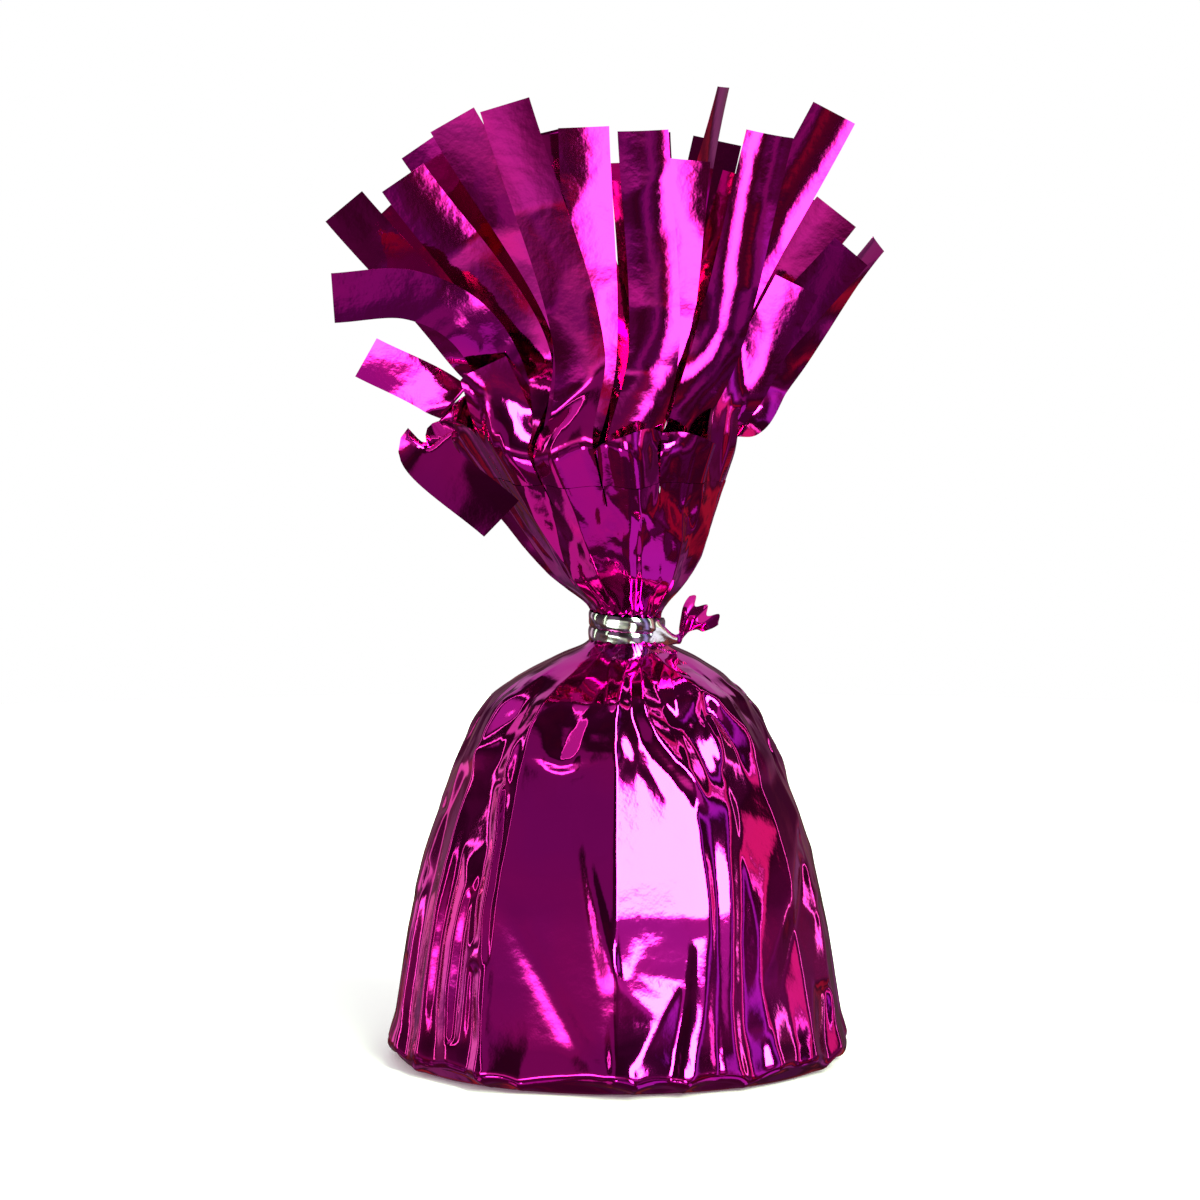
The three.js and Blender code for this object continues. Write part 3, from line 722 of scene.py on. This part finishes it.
def film_points():
    """The wrap's grid: its half section turned about the axis, raised along the section's
    normal by the flat sides, the folds and the crumples, and gathered at the neck."""
    line = rounded_line(BODY_LINE, ROW_SPACING, CORNER_SOFTNESS)
    on_floor = np.arange(len(line)) < np.argmax(line[:, 0]) - FLOOR_EDGE_ROWS
    line = line[~on_floor | (np.arange(len(line)) % FLOOR_ROW_STEP == 0)]
    slope = unit(np.gradient(line, axis=0))
    radius, height = line[:, :1], line[:, 1:]
    normal_out, normal_up = slope[:, 1:], -slope[:, :1]
    angle = np.linspace(-180.0, 180.0, FILM_COLUMNS, endpoint=False)[None, :]
    wall = smooth(height, WALL_FROM, WALL_TO)
    body = wall * (1.0 - smooth(height, SHOULDER_TOP, NECK_LOW))
    corner = int(np.argmax(line[:, 0]))
    folds = folded(fold_points(line, corner), len(line), FILM_COLUMNS)
    collar = smooth(height, NECK_HIGH, NECK_HIGH + COLLAR_START)
    rise = body * side_rise(angle, radius, SIDES) + wall * folds
    rise = rise + collar * side_rise(angle, radius, COLLAR_SIDES)

    spread = GATHER_SPREAD * np.sin(np.radians(3 * angle))
    gather = np.abs(wrapped(angle * GATHERS + spread)) / 180.0
    near_neck = np.exp(-(((height - NECK_MIDDLE) / GATHER_REACH) ** 2))
    rise = rise + GATHER_DEPTH * near_neck * gather

    away = outward(angle[0])
    base = [radius * away[:, 0], radius * away[:, 1], height]
    base = np.stack(np.broadcast_arrays(*base), axis=-1)
    coarse = crumple(base, COARSE_FACETS, COARSE_STRETCH, 11)
    fine = crumple(base, FINE_FACETS, FINE_STRETCH, 23)
    strength = crumpled_share(height, angle, wall)
    rise = rise + strength * (COARSE_DEPTH * coarse + FINE_DEPTH * fine)
    rise = rise + soft_ridge(base)
    rise = np.where(height < CUP_TOP, np.maximum(rise, -DEEPEST * wall), rise)

    reach = radius + normal_out * rise
    level = height + normal_up * rise
    outside_card = smooth(radius, CARD_EDGE, WRAP_EDGE)
    level = level + base_lift(angle) * outside_card * (1.0 - smooth(height, 0.0, LIFT_FADE))
    x = reach * np.sin(np.radians(angle)) + axis_at(level)
    y = -reach * np.cos(np.radians(angle))
    z = np.maximum(level, LOWEST)
    return np.stack([x, y, z], axis=-1)


# Slits in the collar's rim, between one outermost strip and the next
SLIT_DEPTH = 3.5
SECTORS = 12


def slit_cells(grid):
    """The cells that the slits take out of the collar, between the outermost strips."""
    rows, columns = grid.shape[:2]
    cells = np.zeros((rows - 1, columns), dtype=bool)
    between = (np.arange(SECTORS) * columns) // SECTORS
    depth = int(SLIT_DEPTH / ROW_SPACING)
    cells[-depth:, between] = True
    return cells


film_grid = film_points()
film_wrap = surface(
    "film_wrap_folded",
    film_grid,
    magenta_film,
    closed_round=True,
    cap_start=True,
    left_out=slit_cells(film_grid),
)


# Fringe strips: their own sizes, and those of the solid film and strips that they stand for
STRIP_WIDTH = 7.0
STRIP_THICKNESS = 0.03
FILM_THICKNESS = 0.4
SOLID_STRIP_THICKNESS = 0.26
CLEARANCE = 0.3

# The collar as the strips see it: its radius at the neck and the rim, how it flares
# between, and how far above the rim the strips leave it
NECK_RADIUS = 4.2
RIM_RADIUS = 15.8
COLLAR_KNOTS = (0.0, 0.12, 0.45, 1.0)
COLLAR_FLARE = 0.65
RIM_RISE = 2.0

# A strip's grid, the curl across it where none is given, the share of its length over
# which it turns to face its way, and how far down that way looks
STRIP_ROWS = 84
STRIP_COLUMNS = 11
CURL = 0.1
TURN_SHARE = 0.4
LOOK_DOWN = -0.25

# A strip's creases: how many facets, how much less length counts than width, and their
# depth, with what is added near the collar
CREASE_FACETS = 7
CREASE_STRETCH = np.array([0.6, 1.0])
CREASE_DEPTH = 0.006
CREASE_NEAR_COLLAR = 0.02

# Where an outermost strip grows out of the rim: how far it starts below and inside it, the
# narrow gap that each slit leaves in degrees, and where its bend starts and ends. The bend
# slants across the strip by a length drawn from a range, and the cut by a share of that.
RIM_LAP = 0.4
RIM_INSET = 0.08
SLIT_GAP = 1.0
BEND_FROM = 1.0
BEND_TO = 11.0
BEND_SLANT = (5.0, 11.0)
CUT_SLANT = 0.07

# Rings of strips, outermost first: where each starts up the collar, and how far it leans
RINGS = [(0.94, 0.8), (0.76, 0.2), (0.58, 0.15), (0.41, 0.1), (0.25, 0.0)]

# Each strip: its ring, its angle, the points that it passes and its cut end, counted from
# where it leaves the collar, the turn of that end, and 1 to face it forward or -1 rearward
STRIPS = [
    (0, -165, [(4, 5, 10), (0, 15, 23)], 5, -1),
    (0, -135, [(0, 5, 11), (-8, 14, 27)], -8, -1),
    (0, -105, [(-6, 0, 8), (-18, -1, 14.5)], -10, 1),
    (0, -75, [(-5.5, -3, 4), (-9.5, -5, 2.5), (1.5, -10.5, -7)], -22, 1),
    (0, -45, [(-1.5, -1.8, 6), (-5, -2.6, 14)], 12, 1),
    (0, -15, [(1.4, -2.5, 16), (-8.8, -5, 50)], 4, 1),
    (0, 15, [(0.6, -0.8, 2.4), (1.5, -1.8, 5.6)], 0, 1),
    (0, 45, [(1.1, -0.9, 2), (1.2, -1.9, 4.2)], 0, 1),
    (0, 75, [(6, -0.2, 12), (12.8, -2.2, 25)], 8, 1, 0.2),
    (0, 105, [(9, 1, 10), (24, 4, 31)], 60, 1),
    (0, 135, [(8, 4, 11), (16, 13, 27)], 14, -1),
    (0, 165, [(4, 5, 11), (8, 14, 31)], -6, -1),
    (1, -162, [(2, 1.5, 14), (-2, 9.5, 39)], 8, -1),
    (1, -126, [(0.5, 1.5, 13), (-12.5, 7.5, 36)], 4, -1),
    (1, -90, [(-3, -2, 12), (-22.5, -2, 36)], -6, 1),
    (1, -54, [(-3, -3.3, 13), (-8, -6.5, 20.5), (-15.5, -7.5, 24), (-26, -7.5, 23.5)], 4, 1),
    (1, -18, [(3, -1, 15), (2, -4.5, 47)], 8, 1),
    (1, 18, [(3.5, -1, 15), (2, -5, 46.5)], -4, 1, 0.35),
    (1, 54, [(5.5, -3.5, 15), (13, -8.5, 46)], 14, 1, 0.55),
    (1, 90, [(8, 1, 13), (22.5, 0, 29.5)], 20, 1),
    (1, 126, [(5.5, 2.5, 13), (19.5, 5.5, 37)], -8, -1),
    (1, 162, [(6, 1.5, 14), (10, 8.5, 41)], 10, -1),
    (2, -157, [(4, -0.5, 15), (-0.5, 5.5, 45)], 6, -1),
    (2, -112, [(2, -1.5, 14), (-18, 0.5, 36.5)], -5, 1),
    (2, -67, [(0.5, -0.5, 15), (-16.5, -3.5, 40)], 2, 1),
    (2, -22, [(1.5, 1.5, 16), (-2.5, 3, 46)], 4, 1),
    (2, 23, [(4.5, 1, 16), (7.5, -1.5, 42.5)], 8, 1),
    (2, 66, [(4.5, -2, 16), (22, -3.5, 49)], 12, 1, -0.3),
    (2, 113, [(6.5, 0, 14), (23, 0.5, 35)], -14, 1),
    (2, 158, [(3.5, -1, 15), (2.5, 4, 46)], -9, -1),
    (3, -150, [(3, -2.5, 15), (-4, 1.5, 46)], -3, -1),
    (3, -90, [(4, -1.5, 16), (-15, -1.5, 44.5)], -3, 1),
    (3, -30, [(2.5, 4.5, 16), (-15.5, 4, 48)], 5, 1),
    (3, 30, [(4, 3, 16), (12.5, 1.5, 52.5)], 70, 1),
    (3, 90, [(4, 1.5, 16), (11, 1.5, 40)], 5, 1),
    (3, 150, [(5, -2.5, 15), (12, 1.5, 45)], -5, -1),
    (4, -110, [(7, -0.5, 15), (-6, 0.5, 43)], 5, 1),
    (4, -20, [(4, 4, 15), (-4.5, 3.5, 46)], 14, 1),
    (4, 70, [(0, 1.5, 15), (1.5, 0.5, 41)], -10, 1),
    (4, 160, [(4, -2, 15), (2.5, -0.5, 42)], 20, -1),
]


def collar_radius(height):
    """The collar's radius between its folds, in three straight stretches."""
    share = np.clip((height - NECK_HIGH) / (RIM - NECK_HIGH), 0.0, 1.0)
    flare = np.interp(share, COLLAR_KNOTS, np.array(COLLAR_KNOTS) ** COLLAR_FLARE)
    return NECK_RADIUS + (RIM_RADIUS - NECK_RADIUS) * flare


def route_through(points, count):
    """Points at even distances along a centripetal Catmull-Rom curve through the given
    ones: each stretch blends two parabolas, timed by the root of the distances. Gives the
    curve's length too."""
    p = np.asarray(points, dtype=float)
    p = np.concatenate([[2 * p[0] - p[1]], p, [2 * p[-1] - p[-2]]])
    pieces = []
    for k in range(1, len(p) - 2):
        a, b, c, d = p[k - 1 : k + 3]
        t0 = 0.0
        t1 = t0 + max(np.linalg.norm(b - a), 1e-4) ** 0.5
        t2 = t1 + max(np.linalg.norm(c - b), 1e-4) ** 0.5
        t3 = t2 + max(np.linalg.norm(d - c), 1e-4) ** 0.5
        t = np.linspace(t1, t2, 80)[:, None]
        ab = (t1 - t) / (t1 - t0) * a + (t - t0) / (t1 - t0) * b
        bc = (t2 - t) / (t2 - t1) * b + (t - t1) / (t2 - t1) * c
        cd = (t3 - t) / (t3 - t2) * c + (t - t2) / (t3 - t2) * d
        abc = (t2 - t) / (t2 - t0) * ab + (t - t0) / (t2 - t0) * bc
        bcd = (t3 - t) / (t3 - t1) * bc + (t - t1) / (t3 - t1) * cd
        pieces.append((t2 - t) / (t2 - t1) * abc + (t - t1) / (t2 - t1) * bcd)
    line = np.concatenate(pieces)
    run = np.concatenate([[0.0], np.cumsum(np.linalg.norm(np.diff(line, axis=0), axis=1))])
    even = np.linspace(0.0, run[-1], count)
    return np.stack([np.interp(even, run, line[:, k]) for k in range(3)], axis=1), run[-1]


def turned_about(vectors, axes, angle):
    """Vectors turned about unit axes by an angle in degrees, for vectors square to them."""
    a = np.radians(angle)[:, None]
    return vectors * np.cos(a) + np.cross(axes, vectors) * np.sin(a)


def grown_from_rim(points, angle, run, v, seed):
    """Lets a strip of the outermost ring grow out of the collar: its first stretch goes on
    from the film's rim, along the film's own slope, and then eases into the strip. The
    bend between the two slants across the strip. run is the distance along the strip and
    v the place across it, from -0.5 to 0.5."""
    around = film_grid.shape[1]
    at = (angle + v * (360.0 / SECTORS - SLIT_GAP) + 180.0) % 360.0 / 360.0 * around
    low = np.floor(at).astype(int) % around
    high = (low + 1) % around
    part = (at - np.floor(at))[:, None]
    rim = film_grid[-1, low] * (1.0 - part) + film_grid[-1, high] * part
    under = film_grid[-4, low] * (1.0 - part) + film_grid[-4, high] * part
    heading = unit(rim - under)
    inward = unit(np.array([axis_at(RIM), 0.0, 0.0]) - rim * np.array([1.0, 1.0, 0.0]))
    start = rim - RIM_LAP * heading + RIM_INSET * inward
    slant = np.random.default_rng(seed).uniform(*BEND_SLANT) * (1 if seed % 2 else -1)
    gone = run[:, None] * (1.0 + CUT_SLANT * slant * v)
    going_on = start[None] + heading[None] * gone[..., None]
    spread = 0.5 * abs(slant)
    ease = smooth(run[:, None] + slant * v, BEND_FROM + spread, BEND_TO + spread)[..., None]
    return going_on * (1.0 - ease) + points * ease


def strip_points(ring, angle, way, turn, facing, curl, seed):
    """One fringe strip: it starts flat against the collar's inside, follows it up, and
    turns to face as its end does. It is curled across by a parabola, and creased into a
    few flat facets, more so near the collar."""
    start, lean = RINGS[ring]
    height = NECK_HIGH + start * (RIM - NECK_HIGH)
    corner = collar_radius(height) - FILM_THICKNESS - CLEARANCE - SOLID_STRIP_THICKNESS
    radius = math.sqrt(corner**2 - (STRIP_WIDTH / 2) ** 2)
    out, along_rim = outward(np.array(float(angle))), sideways(np.array(float(angle)))
    root = out * radius + np.array([axis_at(height), 0.0, height])
    slope = lean * (RIM_RADIUS - NECK_RADIUS) / (RIM - NECK_HIGH)
    heading = out * slope + np.array([COLLAR_LEAN / (RIM - NECK_HIGH), 0.0, 1.0])
    leaving = root + heading * (RIM + RIM_RISE - height)
    passed = [leaving + np.array(point, dtype=float) for point in way]
    route, length = route_through([root, leaving, *passed], STRIP_ROWS)
    along = unit(np.gradient(route, axis=0))
    share = np.linspace(0.0, 1.0, STRIP_ROWS)
    left_at = np.linalg.norm(leaving - root) / length
    square = unit(np.cross(along, np.array([0.0, -facing, LOOK_DOWN])))
    square = np.where((square @ along_rim)[:, None] < 0.0, -square, square)
    square = turned_about(square, along, turn * smooth(share))
    mixing = smooth((share - left_at) / TURN_SHARE)[:, None]
    across = along_rim * (1.0 - mixing) + square * mixing
    across = unit(across - along * (across * along).sum(axis=1, keepdims=True))
    normal = np.cross(along, across)
    v = np.linspace(-0.5, 0.5, STRIP_COLUMNS)
    flat = np.stack(np.broadcast_arrays(share[:, None] * length, v * STRIP_WIDTH), -1)
    creases = crumple(flat, CREASE_FACETS, CREASE_STRETCH, seed)
    freed = smooth(share, 0.6 * left_at, left_at + 0.05)[:, None]
    near_collar = 1.0 - smooth(share, 0.1, 0.6)[:, None]
    strength = freed * (CREASE_DEPTH + CREASE_NEAR_COLLAR * near_collar)
    raised = freed * 4.0 * curl * v**2 + strength * creases
    points = route[:, None] + across[:, None] * v[None, :, None] * STRIP_WIDTH
    points = points + normal[:, None] * raised[..., None]
    if ring == 0:
        points = grown_from_rim(points, angle, share * length, v, seed)
    return points


fringe = []
for number, (ring, angle, way, turn, facing, *curl) in enumerate(STRIPS, start=1):
    points = strip_points(ring, angle, way, turn, facing, curl[0] if curl else CURL, number)
    strip = surface(f"fringe_{number:02d}", points, magenta_film)
    thicken(strip, STRIP_THICKNESS)
    fringe.append(strip)
    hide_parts(f"fringe_strip_{number:02d}")


# The tie: a band wound round the neck in a falling spiral, which ends at an angle, and its
# tab, which starts as wide as two turns and laps over the tail
TIE_TURNS = 1.78
TIE_WIDTH = 2.12
TIE_PITCH = 2.2
TIE_END_ANGLE = 40.0
TIE_RADIUS = 5.25
TIE_LOW = 59.8
TIE_CROWN = 0.16
TIE_WRINKLE = 0.05
TIE_THICKNESS = 0.06
TAB_LENGTH = 4.0
TAB_LAP = 0.7
TAB_WIDTH = 1.3
TAB_FLARE = 1.9


def tie_points(rows=260, columns=9):
    """The tie: a band that falls in a spiral about the neck, crowned across its width by
    1 - (2 v)^4 and wrinkled by crossed waves, then a tab that runs off sideways. The tab
    starts as wide as two turns and narrows."""
    turn_length = 2 * math.pi * TIE_RADIUS * TIE_TURNS
    tab_length = TAB_LENGTH + TAB_LAP
    wound = turn_length / (turn_length + tab_length)
    share = np.linspace(0.0, 1.0, rows)
    on_band = np.minimum(share / wound, 1.0)
    on_tab = np.clip((share - wound) / (1.0 - wound), 0.0, 1.0)
    angle = TIE_END_ANGLE - 360.0 * TIE_TURNS * (1.0 - on_band)
    height = TIE_LOW + TIE_PITCH * TIE_TURNS * (1.0 - on_band)
    middle = outward(angle) * TIE_RADIUS
    middle = middle + np.stack([NECK_LEAN + 0 * height, 0 * height, height], axis=-1)
    middle = middle + on_tab[:, None] * tab_length * sideways(np.array(TIE_END_ANGLE))
    v = np.linspace(-0.5, 0.5, columns)[None, :]
    width = (TIE_WIDTH + (TAB_WIDTH - TIE_WIDTH) * on_tab)[:, None]
    crown = TIE_CROWN * (1.0 - (2 * v) ** 4)
    wrinkle = TIE_WRINKLE * np.sin(share[:, None] * 52 + 4 * v) * np.cos(3 * v)
    points = middle[:, None] + outward(angle)[:, None] * (crown + wrinkle)[..., None]
    flare = TAB_FLARE * smooth(on_tab, 0.0, 0.12) * (1.0 - smooth(on_tab, 0.2, 1.0))
    points[..., 2] += width * v + flare[:, None] * (v + 0.5)
    return points


tie = surface("tie_wound", tie_points(), silver_film)
thicken(tie, TIE_THICKNESS)
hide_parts("tie_strip")


# The tail: which way it rises and which way its fan opens
TAIL_LENGTH = 6.3
TAIL_WIDTH = 5.8
TAIL_PLEATS = 4
TAIL_PLEAT_DEPTH = 0.2
TAIL_THICKNESS = 0.04
TAIL_LIFT = (0.7, -0.1, 0.7)
TAIL_OPENING = (0.75, 0.0, -0.6)
TAIL_RAGGED = 0.1


def tail_points(rows=40, columns=49):
    """The tail: narrow where it leaves the tab, bending upwards and opening into a pleated
    fan, whose end is ragged by a sine across it."""
    u = np.linspace(0.0, 1.0, rows)[:, None]
    v = np.linspace(0.0, 1.0, columns)[None, :]
    run = sideways(np.array(TIE_END_ANGLE))
    start = outward(np.array(TIE_END_ANGLE)) * TIE_RADIUS + run * (TAB_LENGTH + CLEARANCE)
    start = start + np.array([NECK_LEAN, 0.0, TIE_LOW])
    lift = unit(np.array(TAIL_LIFT))
    bend = smooth(u * 1.4)[..., None]
    width = TAB_WIDTH + (TAIL_WIDTH - TAB_WIDTH) * smooth(u)
    ragged = 1.0 + TAIL_RAGGED * np.sin(17 * v) * u
    heading = unit(run * (1 - bend) + lift * bend)
    opened = unit(np.array([0.0, 0.0, 1.0]) * (1 - bend) + np.array(TAIL_OPENING) * bend)
    points = start + heading * (TAIL_LENGTH * u * ragged)[..., None]
    points = points + opened * (width * (v - 0.5))[..., None]
    pleat = np.abs((v * TAIL_PLEATS) % 2 - 1) - 0.5
    points[..., 1] += pleat * TAIL_PLEAT_DEPTH * u
    return points


tail = surface("tie_tail_fan", tail_points(), magenta_film)
thicken(tail, TAIL_THICKNESS)
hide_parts("tie_tail")

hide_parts("film_wrap")

for piece in (film_wrap, tie, tail, *fringe):
    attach(piece, "root")

for node, material in (
    ("base_card", greyboard),
    ("ballast_cup", cup_sheet),
    ("ballast_fill", cast_ballast),
):
    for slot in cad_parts[node].material_slots:
        slot.material = material


# The table's radius and top, and its finish
TABLE_RADIUS = 450.0
TABLE_TOP = -0.05
TABLE_WHITE = (0.92, 0.92, 0.92, 1.0)
TABLE_GLOW = 0.12

# The camera: its tilt, its distance from the point that it aims at, and that point, both
# in metres, and its lens and sensor in millimetres
TILT = math.radians(5.5)
DISTANCE = 0.708
AIM = np.array([-0.0025, 0.0, 0.0653])
LENS = 150
SENSOR = 36


def table_finish():
    """Plain matt white with a faint glow, so that it is as bright as the background."""
    material, _, _, shader = new_material("white table")
    shader.inputs["Base Color"].default_value = TABLE_WHITE
    shader.inputs["Roughness"].default_value = 0.8
    shader.inputs["Specular IOR Level"].default_value = 0.0
    shader.inputs["Emission Color"].default_value = (1.0, 1.0, 1.0, 1.0)
    shader.inputs["Emission Strength"].default_value = TABLE_GLOW
    return material


def table_points():
    """Two rings of points, one near the middle and one at the table's edge."""
    a = np.linspace(0, 2 * np.pi, 96, endpoint=False)
    rings = []
    for r in (0.02, 1.0):
        x, y = TABLE_RADIUS * r * np.cos(a), TABLE_RADIUS * r * np.sin(a)
        rings.append(np.stack([x, y, TABLE_TOP + 0 * a], axis=-1))
    return np.stack(rings)


def studio():
    """A white table, and a camera at the photograph's angle. The film doesn't mirror the
    table."""
    table = surface("table", table_points(), table_finish(), closed_round=True, cap_start=True)
    table.visible_glossy = False
    lens = bpy.data.cameras.new("camera")
    lens.lens = LENS
    lens.sensor_width = SENSOR
    camera = bpy.data.objects.new("camera", lens)
    bpy.context.scene.collection.objects.link(camera)
    camera.location = AIM + DISTANCE * np.array([0.0, -math.cos(TILT), math.sin(TILT)])
    camera.rotation_euler = (math.pi / 2 - TILT, 0.0, 0.0)
    bpy.context.scene.camera = camera


# Light panels round the weight, by direction: azimuth, elevation, half width, half height,
# softness of the edge, brightness and colour
PANELS = [
    (33, 42, 9.5, 25.5, 2, 24.0, (1.0, 1.3, 0.9)),
    (33, 6, 10, 10, 4, 0.4, (1.0, 0.6, 1.0)),
    (16, -20, 6, 11, 4, 7.5, (1.0, 1.2, 0.85)),
    (-20, -43, 6, 4, 2.5, 8.0, (1.0, 1.3, 0.9)),
    (-10, -51, 30, 9.5, 1.5, 0.36, (0.9, 0.4, 1.05)),
    (88, -55, 38, 9, 1.5, 0.5, (0.9, 0.5, 1.25)),
    (-98, -55, 28, 9, 2, 0.5, (1.0, 0.5, 0.75)),
    (-82, -40, 14, 7, 3, 0.25, (1.0, 0.5, 0.8)),
    (-42, -3.5, 17, 3, 5, 7.5, (1.0, 1.2, 0.85)),
    (-30, -5, 30, 6, 6, 0.6, (1.0, 1.2, 0.8)),
    (-40, 24, 16, 24, 5, 0.16, (1.0, 0.5, 0.9)),
    (-80, 48, 14, 16, 6, 0.5, (1.0, 0.7, 0.9)),
    (-109, 32, 1.8, 34, 1.5, 3.0, (1.0, 1.3, 0.8)),
    (-132, 15, 5, 20, 3, 0.8, (1.0, 0.7, 0.8)),
    (-66, 30, 1.2, 32, 1.5, 3.0, (1.0, 1.3, 0.8)),
    (79, -6, 4, 3, 2, 1.3, (1.0, 1.0, 1.0)),
    (62, 10, 5, 30, 4, 0.5, (0.8, 0.6, 1.4)),
    (88, 20, 4, 30, 3, 0.6, (1.3, 0.6, 0.5)),
    (112, 32, 1.8, 34, 1.5, 3.0, (1.0, 1.3, 0.8)),
    (81, 32, 1.2, 34, 1.5, 2.5, (1.0, 1.3, 0.8)),
    (-160, 40, 8, 25, 4, 0.5, (1.0, 0.8, 1.0)),
    (160, 35, 8, 25, 4, 0.5, (1.0, 0.8, 1.0)),
]

# Between the panels the surrounding is dim: its brightness by elevation, and its colour
DIM_STOPS = [
    (-90, 0.05), (-40, 0.07), (-8, 0.1), (-4, 0.17), (1, 0.15), (8, 0.07), (22, 0.03),
    (50, 0.025), (90, 0.06),
]
DIM_COLOUR = (1.0, 0.6, 0.72)

# Low down it is broken into patches: a tint for each reading of a noise, the noise's
# scale, the elevations between which the tint comes in and, further down, fades, and how
# much of it there is above and below them
PATCH_TINTS = [
    (0.33, (3.6, 1.0, 0.7)), (0.41, (1.3, 0.7, 0.5)), (0.48, (0.5, 0.45, 0.4)),
    (0.53, (1.0, 1.0, 1.0)), (0.59, (1.2, 1.0, 1.7)), (0.67, (3.0, 2.6, 3.6)),
]
PATCH_SCALE = 3.0
PATCHES_IN = (0.0, -9.0)
PATCHES_OUT = (-38.0, -55.0)
TINT_ABOVE = 0.15
TINT_BELOW = 0.25


def surrounding():
    """A surrounding whose bright and dark parts the film mirrors. The camera itself, and
    the light on the table, see plain white. It is worked out from the direction alone: a
    dim gradient by elevation, tinted in patches, plus the light panels, each of which is
    the product of a soft-edged band of azimuth and one of elevation."""
    world = bpy.data.worlds.new("studio")
    bpy.context.scene.world = world
    world.use_nodes = True
    nodes, links = world.node_tree.nodes, world.node_tree.links
    nodes.clear()

    def worked_out(operation, *values):
        """The result of a sum on numbers or on other nodes' outputs."""
        node = nodes.new("ShaderNodeMath")
        node.operation = operation
        for socket, value in zip(node.inputs, values):
            if isinstance(value, (int, float)):
                socket.default_value = value
            else:
                links.new(value, socket)
        return node.outputs[0]

    def between(value, start, end, lowest=0.0, kind="LINEAR"):
        """Rises from lowest, where the value is start, to 1 at end."""
        reach = nodes.new("ShaderNodeMapRange")
        reach.interpolation_type = kind
        reach.inputs["From Min"].default_value = start
        reach.inputs["From Max"].default_value = end
        reach.inputs["To Min"].default_value = lowest
        links.new(value, reach.inputs["Value"])
        return reach.outputs["Result"]

    def band(value, centre, half, soft, goes_round):
        """1 within half of the centre, falling to 0 over soft to either side of that."""
        away = worked_out("SUBTRACT", value, centre)
        if goes_round:
            away = worked_out("WRAP", away, 180.0, -180.0)
        away = worked_out("ABSOLUTE", away)
        return between(away, half + soft, half - soft, kind="SMOOTHSTEP")

    def colour_ramp(value, stops):
        """The colour that a list of places and colours has at a value from 0 to 1."""
        ramp = nodes.new("ShaderNodeValToRGB")
        elements = ramp.color_ramp.elements
        while len(elements) < len(stops):
            elements.new(0.5)
        for element, (at, colour) in zip(elements, stops):
            element.position = at
            element.color = (*colour, 1.0)
        links.new(value, ramp.inputs["Fac"])
        return ramp.outputs["Color"]

    place = nodes.new("ShaderNodeTexCoord")
    parts = nodes.new("ShaderNodeSeparateXYZ")
    links.new(place.outputs["Generated"], parts.inputs[0])
    x, y, z = parts.outputs
    backward = worked_out("MULTIPLY", y, -1.0)
    azimuth = worked_out("MULTIPLY", worked_out("ARCTAN2", x, backward), 180 / math.pi)
    elevation = worked_out("MULTIPLY", worked_out("ARCSINE", z), 180 / math.pi)

    upward = worked_out("DIVIDE", worked_out("ADD", elevation, 90.0), 180.0)
    stops = []
    for level, bright in DIM_STOPS:
        stops.append(((level + 90) / 180, [bright * c for c in DIM_COLOUR]))
    dim = colour_ramp(upward, stops)

    patches = nodes.new("ShaderNodeTexNoise")
    patches.inputs["Scale"].default_value = PATCH_SCALE
    patches.inputs["Detail"].default_value = 1.0
    links.new(place.outputs["Generated"], patches.inputs["Vector"])
    tints = colour_ramp(patches.outputs["Fac"], PATCH_TINTS)
    low_down = between(elevation, *PATCHES_IN, TINT_ABOVE)
    not_below = between(elevation, *reversed(PATCHES_OUT), TINT_BELOW)
    tinted = nodes.new("ShaderNodeMix")
    tinted.data_type = "RGBA"
    tinted.blend_type = "MULTIPLY"
    links.new(worked_out("MULTIPLY", low_down, not_below), tinted.inputs["Factor"])
    links.new(dim, tinted.inputs["A"])
    links.new(tints, tinted.inputs["B"])

    total = tinted.outputs["Result"]
    for where, level, half_width, half_height, soft, bright, colour in PANELS:
        over = band(azimuth, where, half_width, soft, True)
        up = band(elevation, level, half_height, soft, False)
        inside = worked_out("MULTIPLY", over, up)
        glow = nodes.new("ShaderNodeVectorMath")
        glow.operation = "SCALE"
        glow.inputs[0].default_value = colour
        links.new(worked_out("MULTIPLY", inside, bright), glow.inputs["Scale"])
        added = nodes.new("ShaderNodeVectorMath")
        added.operation = "ADD"
        links.new(total, added.inputs[0])
        links.new(glow.outputs[0], added.inputs[1])
        total = added.outputs[0]

    mirrored = nodes.new("ShaderNodeBackground")
    links.new(total, mirrored.inputs["Color"])
    seen = nodes.new("ShaderNodeBackground")
    seen.inputs["Color"].default_value = (1.0, 1.0, 1.0, 1.0)
    path = nodes.new("ShaderNodeLightPath")
    rays = path.outputs["Is Camera Ray"], path.outputs["Is Diffuse Ray"]
    choice = nodes.new("ShaderNodeMixShader")
    links.new(worked_out("MAXIMUM", *rays), choice.inputs["Fac"])
    links.new(mirrored.outputs[0], choice.inputs[1])
    links.new(seen.outputs[0], choice.inputs[2])
    out = nodes.new("ShaderNodeOutputWorld")
    links.new(choice.outputs[0], out.inputs["Surface"])


studio()
surrounding()
bpy.context.scene.view_settings.view_transform = "Standard"
